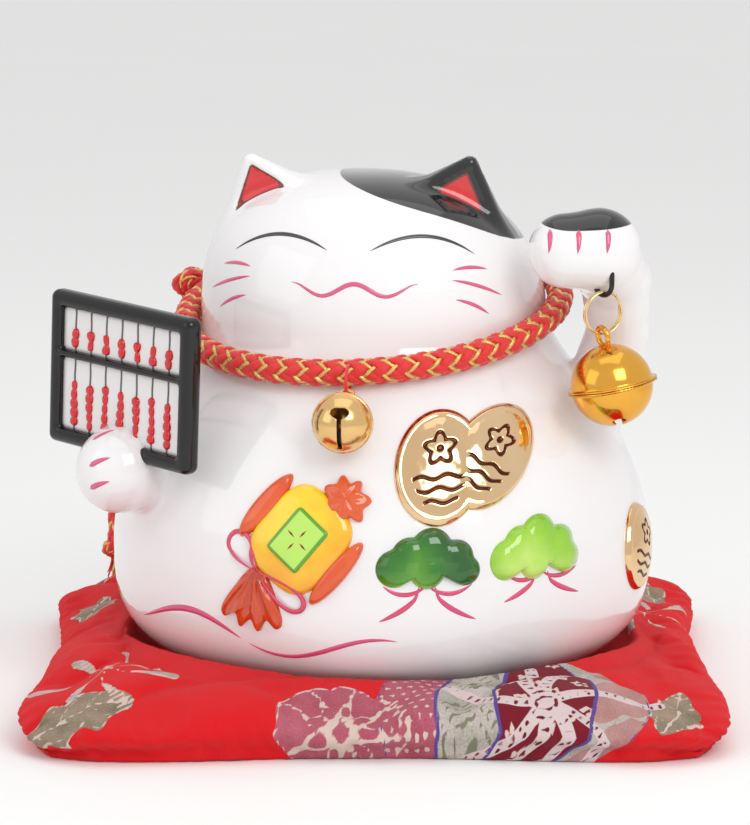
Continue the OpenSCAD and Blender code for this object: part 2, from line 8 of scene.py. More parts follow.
import bpy
import numpy as np
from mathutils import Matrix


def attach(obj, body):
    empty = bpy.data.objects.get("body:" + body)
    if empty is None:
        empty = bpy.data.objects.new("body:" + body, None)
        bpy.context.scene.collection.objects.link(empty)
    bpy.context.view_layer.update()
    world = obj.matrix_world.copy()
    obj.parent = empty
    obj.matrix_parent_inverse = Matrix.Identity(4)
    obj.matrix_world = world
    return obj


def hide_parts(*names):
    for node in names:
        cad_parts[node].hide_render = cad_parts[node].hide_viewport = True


MM = 0.001
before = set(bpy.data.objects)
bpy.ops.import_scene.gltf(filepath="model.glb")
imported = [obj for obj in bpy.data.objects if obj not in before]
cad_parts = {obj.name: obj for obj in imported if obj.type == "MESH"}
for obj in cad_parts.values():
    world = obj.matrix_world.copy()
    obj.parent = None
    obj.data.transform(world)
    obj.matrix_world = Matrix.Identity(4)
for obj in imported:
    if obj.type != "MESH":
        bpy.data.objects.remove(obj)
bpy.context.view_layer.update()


# ---- camera ---------------------------------------------------------------------

VIEW_TURN = math.radians(7)
VIEW_RISE = math.radians(10)
VIEW_DISTANCE = 1100
VIEW_TARGET = np.array([0, 0, 79.5])
LENS = 165.6


def make_camera():
    back = np.array([
        math.sin(VIEW_TURN) * math.cos(VIEW_RISE),
        -math.cos(VIEW_TURN) * math.cos(VIEW_RISE),
        math.sin(VIEW_RISE),
    ])
    data = bpy.data.cameras.new("camera")
    data.lens = LENS
    data.sensor_width = 36
    data.clip_end = 20
    camera = bpy.data.objects.new("camera", data)
    camera.location = (VIEW_TARGET + VIEW_DISTANCE * back) * MM
    camera.rotation_euler = (math.pi / 2 - VIEW_RISE, 0, VIEW_TURN)
    bpy.context.collection.objects.link(camera)
    bpy.context.scene.camera = camera


make_camera()


# ---- mesh helpers ---------------------------------------------------------------

def new_object(name, points, faces):
    """A smooth mesh object from points in millimetres."""
    mesh = bpy.data.meshes.new(name)
    mesh.from_pydata((np.asarray(points) * MM).tolist(), [], [list(map(int, f)) for f in faces])
    mesh.validate()
    mesh.polygons.foreach_set("use_smooth", [True] * len(mesh.polygons))
    obj = bpy.data.objects.new(name, mesh)
    bpy.context.collection.objects.link(obj)
    return obj


def set_attribute(obj, name, values):
    layer = obj.data.attributes.new(name, "FLOAT", "POINT")
    layer.data.foreach_set("value", np.asarray(values, dtype=np.float32))


def set_normals(obj, normals):
    obj.data.normals_split_custom_set_from_vertices(np.asarray(normals).tolist())


def unit(v):
    v = np.asarray(v, float)
    return v / np.maximum(np.linalg.norm(v, axis=-1, keepdims=True), 1e-9)


def turned(points, degrees):
    """Flat points turned about the origin."""
    a = math.radians(degrees)
    return np.asarray(points, float) @ np.array([[math.cos(a), math.sin(a)], [-math.sin(a), math.cos(a)]])


def spline(points, count, closed=False):
    """Points along a smooth curve through the given ones."""
    p = np.asarray(points, float)
    n = len(p)
    near = (-1, 0, 1, 2)
    if closed:
        t = np.arange(count) * n / count
        i = np.floor(t).astype(int)
        a, b, c, d = (p[(i + k) % n] for k in near)
    else:
        t = np.linspace(0, n - 1, count)
        i = np.minimum(np.floor(t).astype(int), n - 2)
        ends = np.vstack([2 * p[0] - p[1], p, 2 * p[-1] - p[-2]])
        a, b, c, d = (ends[np.clip(i + k + 1, 0, n + 1)] for k in near)
    s = (t - i)[:, None]
    return 0.5 * (2 * b + (c - a) * s + (2 * a - 5 * b + 4 * c - d) * s**2 + (3 * b - a - 3 * c + d) * s**3)


def grid_faces(rows, sides, close_rows=False):
    """Quads joining rows of points, each row a closed ring."""
    faces = []
    for j in range(rows if close_rows else rows - 1):
        k = (j + 1) % rows
        for i in range(sides):
            n = (i + 1) % sides
            faces.append((j * sides + i, j * sides + n, k * sides + n, k * sides + i))
    return faces


def end_caps(rows, sides):
    """The two faces that shut an open tube."""
    return [tuple(range(sides - 1, -1, -1)), tuple(range((rows - 1) * sides, rows * sides))]


def directions(path, closed=False):
    """The way a path runs at each of its points."""
    if closed:
        return unit(np.roll(path, -1, 0) - np.roll(path, 1, 0))
    return unit(np.gradient(path, axis=0))


def tube(path, radii, sides, closed=False, squash=1.0, normals=None):
    """Rings round a path: points and faces. squash flattens the section along the normal."""
    path = np.asarray(path, float)
    along = directions(path, closed)
    if normals is None:
        seed = np.array([0.0, 0.0, 1.0])
        normals = unit(seed - along * (along @ seed)[:, None])
    side = unit(np.cross(along, normals))
    up = np.cross(side, along)
    a = np.arange(sides) * 2 * math.pi / sides
    r = np.broadcast_to(np.asarray(radii, float), (len(path),))[:, None, None]
    ring = np.cos(a)[None, :, None] * side[:, None, :] + squash * np.sin(a)[None, :, None] * up[:, None, :]
    points = (path[:, None, :] + r * ring).reshape(-1, 3)
    faces = grid_faces(len(path), sides, closed)
    if not closed:
        faces += end_caps(len(path), sides)
    return points, faces


def joined(parts):
    """One set of points and faces from several."""
    points, faces, start = [], [], 0
    for p, f in parts:
        points.append(p)
        faces += [tuple(i + start for i in face) for face in f]
        start += len(p)
    return np.vstack(points), faces


# ---- signed distance fields, in millimetres ---------------------------------------

def smooth_min(a, b, k):
    h = np.clip(0.5 + 0.5 * (b - a) / k, 0, 1)
    return b + (a - b) * h - k * h * (1 - h)


def smooth_max(a, b, k):
    return -smooth_min(-a, -b, k)


def limb_distance(p, knots, k):
    """Distance to swellings joined by tapering limbs."""
    d = None
    for (ax, ay, az, ar), (bx, by, bz, br) in zip(knots[:-1], knots[1:]):
        a, b = np.array([ax, ay, az]), np.array([bx, by, bz])
        along = b - a
        t = np.clip((p - a) @ along / (along @ along), 0, 1)
        link = np.linalg.norm(p - a - t[:, None] * along, axis=1) - (ar + t * (br - ar))
        d = link if d is None else smooth_min(d, link, k)
    return d


def box_distance(q, half, edge):
    """Distance to a rounded box centred on the origin."""
    out = np.abs(q) - (np.asarray(half) - edge)
    return np.linalg.norm(np.maximum(out, 0), axis=1) + np.minimum(out.max(axis=1), 0) - edge


def polygon_distance(u, v, corners):
    """Signed distance to a flat polygon, negative inside."""
    c = np.asarray(corners, float)
    d = np.full(u.shape, 1e9)
    sign = np.ones(u.shape)
    for (ax, ay), (bx, by) in zip(c, np.roll(c, -1, 0)):
        ex, ey = bx - ax, by - ay
        t = np.clip(((u - ax) * ex + (v - ay) * ey) / (ex * ex + ey * ey), 0, 1)
        d = np.minimum(d, np.hypot(u - ax - t * ex, v - ay - t * ey))
        crosses = (ay > v) != (by > v)
        at = ax + (v - ay) * ex / (ey if ey else 1e-9)
        sign = np.where(crosses & (u < at), -sign, sign)
    return d * sign


def net_faces(inside, index):
    """A quad across every grid edge where the inside begins or ends."""
    n = inside.shape
    faces = []
    for axis in range(3):
        u, v = (axis + 1) % 3, (axis + 2) % 3
        first = [slice(1, n[m] - 1) for m in range(3)]
        first[axis] = slice(0, n[axis] - 1)
        second = list(first)
        second[axis] = slice(1, n[axis])
        a, b = inside[tuple(first)], inside[tuple(second)]
        for flip in (False, True):
            at = np.argwhere((b & ~a) if flip else (a & ~b))
            at += [0 if m == axis else 1 for m in range(3)]
            quad = []
            for du, dv in ((1, 1), (0, 1), (0, 0), (1, 0)):
                cell = at.copy()
                cell[:, u] -= du
                cell[:, v] -= dv
                quad.append(index[cell[:, 0], cell[:, 1], cell[:, 2]])
            quad = np.column_stack(quad)
            faces.append(quad[:, ::-1] if flip else quad)
    return np.vstack(faces)


def surface_net(field, low, high, step):
    """Points and quads on a field's zero surface, moved onto it."""
    low, high = np.asarray(low, float), np.asarray(high, float)
    n = np.ceil((high - low) / step).astype(int) + 1
    axes = [low[i] + step * np.arange(n[i]) for i in range(3)]
    values = np.empty(n)
    yy, zz = np.meshgrid(axes[1], axes[2], indexing="ij")
    for i, x in enumerate(axes[0]):
        p = np.column_stack([np.full(yy.size, x), yy.ravel(), zz.ravel()])
        values[i] = field(p).reshape(yy.shape)

    def view(corner):
        """The values at one corner of every cell."""
        return values[tuple(slice(c, n[m] - 1 + c) for m, c in enumerate(corner))]

    count = np.zeros(n - 1, int)
    total = np.zeros(tuple(n - 1) + (3,))
    corners = [(i, j, k) for i in (0, 1) for j in (0, 1) for k in (0, 1)]
    for a in corners:
        for axis in range(3):
            if a[axis]:
                continue
            b = tuple(v + (m == axis) for m, v in enumerate(a))
            va, vb = view(a), view(b)
            cross = (va < 0) != (vb < 0)
            t = np.where(cross, va / np.where(cross, va - vb, 1), 0)
            count += cross
            for m in range(3):
                total[..., m] += cross * (a[m] + (t if m == axis else 0))
    active = count > 0
    index = np.full(active.shape, -1)
    index[active] = np.arange(active.sum())
    cells = np.argwhere(active)
    points = low + step * (cells + total[active] / count[active][:, None])
    for _ in range(3):
        g = gradient(field, points, 0.3 * step)
        points = points - np.clip(field(points), -step, step)[:, None] * unit(g)
    return points, net_faces(values < 0, index)


def gradient(field, p, h=0.3):
    """A field's slope at each point."""
    g = np.empty_like(p)
    for m in range(3):
        step = np.zeros(3)
        step[m] = h
        g[:, m] = field(p + step) - field(p - step)
    return g / (2 * h)


# ---- the cat's form -----------------------------------------------------------------

FOOT = 8.0
BODY_HEIGHT = 142.0
BELLY = 78.0
BELLY_MIDDLE = 42.0
BELLY_DROP = 38.0
BELLY_RISE = 68.0
BELLY_SQUARENESS = 3.0
HEAD_HALF_WIDTH = 50.0
HEAD_HALF_HEIGHT = 44.0
HEAD_SQUARENESS = 2.5
MELT = 5.0
# At the foot and at the crown: depth over width, and shift to the side.
DEPTH_SHARES = (0.96, 0.90)
SHIFTS = (2.0, -4.0)
PROFILE_ROWS = 281
# The depth is squeezed, so plain distances to the outline read a little long.
SQUEEZE = 0.97
BODY_BOX = ((-84, -80, 6), (86, 80, 160))
BODY_STEP = 1.25


def lobe(widest, share, squareness):
    """Half width of a round lobe at a share of its height."""
    return widest * np.maximum(0, 1 - share**squareness) ** (1 / squareness)


def body_profile():
    """Height, half width, depth over width and shift: a round belly with a round head melted in."""
    up = (1 - np.cos(np.linspace(0, math.pi, PROFILE_ROWS))) / 2
    z = FOOT + BODY_HEIGHT * up
    low = lobe(BELLY, np.maximum(0, BELLY_MIDDLE - z) / BELLY_DROP, BELLY_SQUARENESS)
    high = lobe(BELLY, np.maximum(0, z - BELLY_MIDDLE) / BELLY_RISE, 2)
    belly = np.where(z < BELLY_MIDDLE, low, high)
    head_middle = FOOT + BODY_HEIGHT - HEAD_HALF_HEIGHT
    head = lobe(HEAD_HALF_WIDTH, np.abs(z - head_middle) / HEAD_HALF_HEIGHT, HEAD_SQUARENESS)
    width = (belly**MELT + head**MELT) ** (1 / MELT)
    depth = DEPTH_SHARES[0] + (DEPTH_SHARES[1] - DEPTH_SHARES[0]) * up
    return z, width, depth, SHIFTS[0] + (SHIFTS[1] - SHIFTS[0]) * up**3


PROFILE_Z, PROFILE_W, PROFILE_RATIO, PROFILE_SHIFT = body_profile()


def body_point(turn, z, gap):
    """A point clear of the body by gap, at a turn in degrees about Z and a height."""
    t = np.radians(turn)
    w = np.interp(z, PROFILE_Z, PROFILE_W)
    ratio = np.interp(z, PROFILE_Z, PROFILE_RATIO)
    shift = np.interp(z, PROFILE_Z, PROFILE_SHIFT)
    return np.stack([shift + (w + gap) * np.cos(t), (w * ratio + gap) * np.sin(t), z + 0 * t], axis=-1)


class Profile:
    """Distance to the turned outline, worked out once on a fine flat grid."""

    STEP = 0.5
    REACH = 110
    TOP = 170

    def __init__(self):
        r = np.arange(0, self.REACH, self.STEP)
        z = np.arange(0, self.TOP, self.STEP)
        rr, zz = np.meshgrid(r, z, indexing="ij")
        edge = np.column_stack([PROFILE_W, PROFILE_Z])
        edge = np.vstack([[-2, FOOT], edge, [[-2, FOOT + BODY_HEIGHT]]])
        self.grid = polygon_distance(rr, zz, edge)

    def __call__(self, r, z):
        u = np.clip(r / self.STEP, 0, self.grid.shape[0] - 1.001)
        v = np.clip(z / self.STEP, 0, self.grid.shape[1] - 1.001)
        i, j = u.astype(int), v.astype(int)
        s, t = u - i, v - j
        g = self.grid
        low = g[i, j] * (1 - s) + g[i + 1, j] * s
        high = g[i, j + 1] * (1 - s) + g[i + 1, j + 1] * s
        return low * (1 - t) + high * t


profile = Profile()


def belly_distance(p):
    """Distance to the body without ears or arms."""
    z = p[:, 2]
    ratio = np.interp(z, PROFILE_Z, PROFILE_RATIO)
    shift = np.interp(z, PROFILE_Z, PROFILE_SHIFT)
    return SQUEEZE * profile(np.hypot(p[:, 0] - shift, p[:, 1] / ratio), z)


class Ear:
    """A rounded triangle standing on the head. A hollow under 0 leaves only a soft dip in front."""

    ROUND = 2.4
    ROOT_HALF = 5.0
    TIP_HALF = 2.2
    FRONT_SHARE = 0.75
    DISH_BLEND = 1.8
    PAINT_DEPTH = 1.5

    def __init__(self, inner, outer, tip, hollow, rim):
        self.inner = np.array(inner, float)
        across = np.array(outer, float) - self.inner
        self.width = np.linalg.norm(across)
        self.u = across / self.width
        rise = np.array(tip, float) - self.inner
        self.v = unit(rise - self.u * (rise @ self.u))
        self.n = np.cross(self.u, self.v)
        if self.n[1] > 0:
            self.n = -self.n
        self.corners = np.array([[0, 0], [self.width, 0], [rise @ self.u, rise @ self.v]])
        self.hollow = hollow
        self.rim = rim

    def local(self, p):
        q = p - self.inner
        return q @ self.u, q @ self.v, q @ self.n

    def distance(self, p):
        u, v, n = self.local(p)
        flat = polygon_distance(u, v, self.corners)
        half = self.ROOT_HALF + (self.TIP_HALF - self.ROOT_HALF) * np.clip(v / self.corners[2][1], 0, 1)
        thick = np.abs(n + (1 - self.FRONT_SHARE) * half) - half + self.ROUND
        d = np.hypot(np.maximum(flat, 0), np.maximum(thick, 0)) + np.minimum(np.maximum(flat, thick), 0)
        d = d - self.ROUND
        face = half * self.FRONT_SHARE
        dish = np.maximum(flat + self.rim, face - self.hollow - n)
        return smooth_max(d, -dish, self.DISH_BLEND)

    def patch(self, p, inset):
        """Negative inside the painted triangle on the front face."""
        u, v, n = self.local(p)
        flat = polygon_distance(u, v, self.corners)
        return np.maximum(flat + inset, -n - self.PAINT_DEPTH)


LEFT_EAR = Ear([-18.5, -11, 145], [-41.5, -8, 131.5], [-34, -12.5, 153.4], hollow=0.7, rim=0.6)
RIGHT_EAR = Ear([14, -11, 145.5], [37.5, -8, 132], [28.5, -12.5, 153.4], hollow=-0.6, rim=1.6)

# Each arm's swellings: a centre and a radius.
RAISED_ARM = [
    (55, -4, 76, 14),
    (66.5, -5, 90, 10.5),
    (70.5, -7, 106, 8.8),
    (70, -13, 122, 10),
    (66, -26, 131.5, 11.5),
    (57, -29, 131.5, 10.5),
]
ABACUS_ARM = [
    (-54, -12, 78, 15),
    (-62, -30, 72, 13),
    (-66.5, -46.5, 70, 12.3),
]
POUR_HOLE_R = 7
POUR_HOLE_TOP = 22
EAR_ROOT = 3.5
RAISED_SHOULDER = 4
ABACUS_SHOULDER = 7
ABACUS_BLEND = 4
# The raised arm keeps close to its plain limbs, because the bell swings past it.
RAISED_BLEND = 1.2


def cat_distance(p):
    """Distance to the whole glazed body."""
    d = belly_distance(p)
    d = smooth_min(d, LEFT_EAR.distance(p), EAR_ROOT)
    d = smooth_min(d, RIGHT_EAR.distance(p), EAR_ROOT)
    d = smooth_min(d, limb_distance(p, RAISED_ARM, RAISED_BLEND), RAISED_SHOULDER)
    d = smooth_min(d, limb_distance(p, ABACUS_ARM, ABACUS_BLEND), ABACUS_SHOULDER)
    hole = np.maximum(np.hypot(p[:, 0], p[:, 1]) - POUR_HOLE_R, p[:, 2] - POUR_HOLE_TOP)
    return smooth_max(d, -hole, 1.0)


CAST_START = 115.0
CAST_STEPS = 90


def cast(x, z, field, turn=0.0):
    """Where lines along the depth meet a surface. x runs across a view turned about Z."""
    a = math.radians(turn)
    across = np.array([math.cos(a), math.sin(a), 0])
    inward = np.array([-math.sin(a), math.cos(a), 0])
    x, z = np.asarray(x, float), np.asarray(z, float)
    p = x[:, None] * across - CAST_START * inward + z[:, None] * [0, 0, 1]
    for _ in range(CAST_STEPS):
        p = p + 0.8 * field(p)[:, None] * inward
    return p, unit(gradient(field, p))


# ---- materials ------------------------------------------------------------------------

class Nodes:
    """Short calls for building a material's node tree."""

    def __init__(self, name):
        self.material = bpy.data.materials.new(name)
        self.material.use_nodes = True
        self.tree = self.material.node_tree
        self.shader = self.tree.nodes["Principled BSDF"]

    def add(self, kind, **values):
        node = self.tree.nodes.new(kind)
        for key, value in values.items():
            setattr(node, key, value)
        return node

    def plug(self, value, socket):
        if isinstance(value, bpy.types.NodeSocket):
            self.tree.links.new(value, socket)
        elif isinstance(value, Sum):
            self.tree.links.new(value.socket, socket)
        elif value is not None:
            if socket.type == "RGBA" and len(value) == 3:
                value = (*value, 1)
            socket.default_value = value

    def set(self, **values):
        for key, value in values.items():
            self.plug(value, self.shader.inputs[key.replace("_", " ").title().replace("Ior", "IOR")])

    def attribute(self, name):
        return Sum(self, self.add("ShaderNodeAttribute", attribute_name=name).outputs["Fac"])

    def position(self):
        return self.add("ShaderNodeTexCoord").outputs["Object"]

    def noise(self, scale, detail=2.0, at=None, roughness=0.5):
        node = self.add("ShaderNodeTexNoise")
        node.inputs["Scale"].default_value = scale
        node.inputs["Detail"].default_value = detail
        node.inputs["Roughness"].default_value = roughness
        self.plug(at if at is not None else self.position(), node.inputs["Vector"])
        return Sum(self, node.outputs["Fac"])

    def combine(self, x, y, z=0.0):
        node = self.add("ShaderNodeCombineXYZ")
        for value, socket in zip((x, y, z), node.inputs):
            self.plug(value, socket)
        return node.outputs[0]

    def mix(self, factor, a, b):
        node = self.add("ShaderNodeMix", data_type="RGBA")
        self.plug(factor, node.inputs[0])
        self.plug(a, node.inputs[6])
        self.plug(b, node.inputs[7])
        return node.outputs[2]

    def bump(self, height, strength, distance):
        node = self.add("ShaderNodeBump")
        node.inputs["Strength"].default_value = strength
        node.inputs["Distance"].default_value = distance
        self.plug(height, node.inputs["Height"])
        self.tree.links.new(node.outputs[0], self.shader.inputs["Normal"])


class Sum:
    """A number in a node tree that takes part in arithmetic."""

    def __init__(self, nodes, socket):
        self.nodes = nodes
        self.socket = socket

    def op(self, name, *others):
        node = self.nodes.add("ShaderNodeMath", operation=name)
        for value, socket in zip((self, *others), node.inputs):
            self.nodes.plug(value, socket)
        return Sum(self.nodes, node.outputs[0])

    def __add__(self, other):
        return self.op("ADD", other)

    def __sub__(self, other):
        return self.op("SUBTRACT", other)

    def __mul__(self, other):
        return self.op("MULTIPLY", other)

    def abs(self):
        return self.op("ABSOLUTE")

    def sin(self):
        return self.op("SINE")

    def sqrt(self):
        return self.op("SQRT")

    def min(self, other):
        return self.op("MINIMUM", other)

    def max(self, other):
        return self.op("MAXIMUM", other)

    def angle(self, x):
        """The angle of the point (x, self)."""
        return self.op("ARCTAN2", x)

    def below(self, edge, soft):
        """1 where this is under the edge, 0 above it, with a soft step between."""
        node = self.nodes.add("ShaderNodeMapRange", interpolation_type="SMOOTHSTEP")
        self.nodes.plug(self, node.inputs["Value"])
        node.inputs["From Min"].default_value = edge - soft
        node.inputs["From Max"].default_value = edge + soft
        node.inputs["To Min"].default_value = 1
        node.inputs["To Max"].default_value = 0
        return Sum(self.nodes, node.outputs["Result"])


WHITE = (0.86, 0.845, 0.85)
WARM_WHITES = ((0.88, 0.865, 0.87), (0.85, 0.825, 0.835))
BARE_CLAY = (0.62, 0.57, 0.50)
BARE_RISE = 0.6
BLACK = (0.006, 0.005, 0.006)
EAR_RED = (0.66, 0.006, 0.010)
BRIGHT_EAR_RED = (0.74, 0.03, 0.035)
BROWN = (0.16, 0.03, 0.02)


def glaze(name, color, roughness=0.08, wave=0.25, coat=0.6):
    """Fired glaze: a clear glossy coat with a faint waviness."""
    n = Nodes(name)
    n.set(base_color=color, roughness=roughness, ior=1.5)
    n.shader.inputs["Coat Weight"].default_value = coat
    n.shader.inputs["Coat Roughness"].default_value = 0.03
    n.bump(n.noise(60, 1), wave, 0.0004)
    return n


def body_glaze():
    n = glaze("white_glaze", WHITE)
    cap = n.attribute("cap").below(0, 0.12)
    paw = n.attribute("paw_cap").below(0, 0.12)
    red = n.attribute("ear_red")
    bare = n.attribute("height").below(FOOT + BARE_RISE, 0.3)
    color = n.mix(n.noise(9, 2), *WARM_WHITES)
    color = n.mix(cap.max(paw), color, BLACK)
    color = n.mix(red.below(0.35, 0.15), color, BROWN)
    tone = n.mix(n.noise(160, 3), EAR_RED, BRIGHT_EAR_RED)
    color = n.mix(red.below(-0.25, 0.15), color, tone)
    color = n.mix(bare, color, BARE_CLAY)
    n.set(base_color=color)
    return n.material


def finished(obj, body, slot, material, *replaced):
    """Give a piece its body and material, and hide the CAD nodes that it stands for. The slot is not used.
    """
    obj.data.materials.clear()
    obj.data.materials.append(material)
    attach(obj, body)
    if replaced:
        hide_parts(*replaced)
    return obj


# ---- braided cord ---------------------------------------------------------------------------

CORD_R = 4.0
# Strands each way round, and the length in which one goes once round.
STRANDS = 8
LEAD = 24.0
HELIX_R = 2.8
WEAVE_RISE = 0.38
# Width and thickness of a strand.
RED_STRAND = (2.75, 1.5)
GOLD_STRAND = (1.25, 1.1)
STRAND_SECTION = [(-1, 0), (-0.5, 0.87), (0.5, 0.87), (1, 0), (0.5, -0.87), (-0.5, -0.87)]
CORE_SIDES = 10
BRAID_STEP = 0.5
CORD_SPACING = 0.25
COLLAR_HEIGHT = 111
COLLAR_DIP = 11
COLLAR_ROLL = 3
KNOT_TURN = 156
KNOT_HALF = (7.5, 4.6, 6.0)
KNOT_SCALE = 0.8
END_KNOT_SCALE = 0.62
DOWN = np.array([0, 0, -1.0])
AWAY = np.array([math.cos(math.radians(KNOT_TURN)), math.sin(math.radians(KNOT_TURN)), 0])
TAIL_SPREAD = 6
TAIL_DRIFT = 0.05
TAIL_END = 73.0
TAIL_CLEAR = 2.0
TUFT_STRANDS = 34
TUFT_R = 2.5
TUFT_LENGTH = 6.5
END_KNOT_R = 5.2


def resampled(path, step, closed):
    """The same path with evenly spaced points, and its length."""
    if closed:
        path = np.vstack([path, path[:1]])
    s = np.concatenate([[0], np.cumsum(np.linalg.norm(np.diff(path, axis=0), axis=1))])
    count = int(round(s[-1] / step))
    at = np.linspace(0, s[-1], count, endpoint=not closed)
    return np.column_stack([np.interp(at, s, path[:, m]) for m in range(3)]), at, s[-1]


def strand_facts(kind, across, run):
    """What the cord's material needs to know about each point of one strand."""
    return np.stack(np.broadcast_arrays(kind, across, run), axis=1)


def braid(path, reference, closed=False, scale=1.0):
    """Sixteen interlaced strands on a core: points, faces and each point's strand facts."""
    path, s, length = resampled(np.asarray(path, float), BRAID_STEP, closed)
    lead = LEAD * scale
    if closed:
        lead = length / round(length / lead)
    side = unit(np.cross(directions(path, closed), np.broadcast_to(reference, path.shape)))
    up = np.cross(side, directions(path, closed))
    sides = len(STRAND_SECTION)
    parts, facts = [], []
    q = 2 * STRANDS * s / lead
    for way in (1, -1):
        for k in range(STRANDS):
            angle = 2 * math.pi * (way * s / lead + k / STRANDS)
            lift = way * np.cos(math.pi / 2 * (way * q + 2 * k - 0.5))
            out = np.cos(angle)[:, None] * side + np.sin(angle)[:, None] * up
            centre = path + scale * (HELIX_R + WEAVE_RISE * lift)[:, None] * out
            wide = unit(np.cross(directions(centre, closed), out))
            red = (k % 2 == 0) == (way == 1)
            width, thick = RED_STRAND if red else GOLD_STRAND
            ring = [centre + 0.5 * scale * (width * a * wide + thick * b * unit(out))
                    for a, b in STRAND_SECTION]
            faces = grid_faces(len(path), sides, closed)
            if not closed:
                faces += end_caps(len(path), sides)
            parts.append((np.stack(ring, axis=1).reshape(-1, 3), faces))
            across = np.tile([a * width / 2 for a, b in STRAND_SECTION], len(path))
            facts.append(strand_facts(0.0 if red else 1.0, across, np.repeat(s, sides)))
    parts.append(tube(path, scale * HELIX_R, CORE_SIDES, closed, normals=up))
    facts.append(strand_facts(2.0, 0.0, np.repeat(s, CORE_SIDES)))
    return *joined(parts), np.vstack(facts)


def cord_material():
    """Shiny red rayon strands with a gold metallic tracer, over a core painted dark red as shade between the
    strands.
    """
    n = Nodes("red_gold_braid")
    kind, across, run = n.attribute("kind"), n.attribute("across"), n.attribute("run")
    gold = (kind - 1).abs().below(0.5, 0.1)
    core_shade = (kind - 2).abs().below(0.5, 0.1)
    fibre = n.noise(1.0, 3, n.combine(across * 9 + run * 0.8, run * 0.5, kind * 7))
    flecks = n.noise(1.0, 1, n.combine(across * 4, run * 3.2, kind * 3))
    red = n.mix(fibre, (0.60, 0.006, 0.008), (0.92, 0.035, 0.03))
    lurex = n.mix(flecks, (0.62, 0.22, 0.03), (1.0, 0.80, 0.30))
    # Painted shade: the core, seen between the strands, is coloured dark red.
    color = n.mix(core_shade, n.mix(gold, red, lurex), (0.22, 0.002, 0.004))
    n.set(base_color=color, metallic=gold * 0.85, roughness=gold * (flecks * 0.35 - 0.3) + 0.42)
    n.set(sheen_weight=0.25, sheen_roughness=0.4)
    n.bump(fibre, 0.55, 0.0003)
    return n.material


CORD_FINISH = cord_material()


def cord_object(name, made, replaced=()):
    points, faces, facts = made
    obj = new_object(name, points, faces)
    for label, values in zip(("kind", "across", "run"), facts.T):
        set_attribute(obj, label, values)
    return finished(obj, "figurine", "braid", CORD_FINISH, *replaced)


def collar_point(turn, gap):
    """A point at the collar's height, clear of the body by gap."""
    t = np.radians(turn)
    return body_point(turn, COLLAR_HEIGHT + COLLAR_DIP * np.sin(t) + COLLAR_ROLL * np.cos(t), gap)


def knot_centre():
    return collar_point(KNOT_TURN, 2 * CORD_R + KNOT_HALF[1] + CORD_SPACING)


def tail_path(way):
    """Down from the knot, round the body's widest part and straight down."""
    centre = knot_centre()
    points = []
    for s in np.linspace(-1.5, TAIL_END, 30):
        z = centre[2] - KNOT_HALF[2] - s
        turn = KNOT_TURN + way * (TAIL_SPREAD + TAIL_DRIFT * max(s, 0))
        free = body_point(turn, max(z, BELLY_MIDDLE), CORD_R + TAIL_CLEAR)
        points.append([free[0], free[1], z])
    return np.array(points)


def knot_turns(centre, half, cord_scale, lean):
    """A tied knot: a trefoil of braid squeezed into the given half sizes."""
    t = np.linspace(0, 2 * math.pi, 160, endpoint=False)
    cord = CORD_R * cord_scale
    flat = np.column_stack([
        (np.sin(t) + 2 * np.sin(2 * t)) / 3 * (half[0] - cord),
        -np.sin(3 * t) * (half[1] - cord) * 0.9,
        (np.cos(t) - 2 * np.cos(2 * t)) / 3 * (half[2] - cord),
    ])
    return centre + np.column_stack([turned(flat[:, :2], lean), flat[:, 2]])


def tuft(centre):
    """Loose strand ends below an end knot."""
    parts, facts = [], []
    s = np.linspace(0, 1, 6)[:, None]
    for k in range(TUFT_STRANDS):
        r = TUFT_R * math.sqrt((k + 0.5) / TUFT_STRANDS)
        a = k * math.pi * (3 - math.sqrt(5))
        out = np.array([math.cos(a), math.sin(a), 0])
        drop = TUFT_LENGTH * (0.85 + 0.15 * math.sin(5.1 * k))
        path = centre + r * out * (1 + 0.5 * s**2) + 0.5 * AWAY * s + DOWN * drop * s
        parts.append(tube(path, np.linspace(0.42, 0.16, 6), 5, normals=np.tile([1.0, 0, 0], (6, 1))))
        facts.append(strand_facts(float(k % 4 == 0), 0.1 * k, np.repeat(drop * s[:, 0], 5)))
    return *joined(parts), np.vstack(facts)


def make_tails():
    for way, side in ((1, "left"), (-1, "right")):
        path = tail_path(way)
        tail = cord_object(f"tail_{side}_cord", braid(path, AWAY), [f"tail_{side}"])
        low = path[-1] - [0, 0, 0.5]
        turns = knot_turns(low, (END_KNOT_R, END_KNOT_R, END_KNOT_R - 0.4), END_KNOT_SCALE, KNOT_TURN - 90)
        knot = cord_object(f"tail_{side}_knot", braid(turns, AWAY, closed=True, scale=END_KNOT_SCALE))
        ends = cord_object(f"tail_{side}_tuft", tuft(low - [0, 0, END_KNOT_R * 0.5]))


def make_collar():
    ring = collar_point(np.arange(0, 360, 2.0), CORD_R + CORD_SPACING)
    cord_object("collar_braid", braid(ring, (0, 0, 1.0), closed=True), ["collar_cord"])
    turns = knot_turns(knot_centre(), KNOT_HALF, KNOT_SCALE, KNOT_TURN - 90)
    cord_object("collar_knot_braid", braid(turns, AWAY, closed=True, scale=KNOT_SCALE), ["collar_knot"])


make_tails()
make_collar()


# ---- glazed body ------------------------------------------------------------------------

CAP_CENTRE = np.array([22.0, 4.0, 149.0])
CAP_R = 30.5
EAR_PAINT_CLEAR = 0.6
EAR_PAINT_FADE = 3.0
LEFT_RED_INSET = 0.4
RIGHT_RED_INSET = 1.5
PAW_CAP_MIDDLE = 60.0
PAW_CAP_LOW = 138.0
PAW_CAP_HALF = 13.0
PAW_CAP_REACH = 14.0
PAW_CAP_DIPS = (2.5, 0.8)


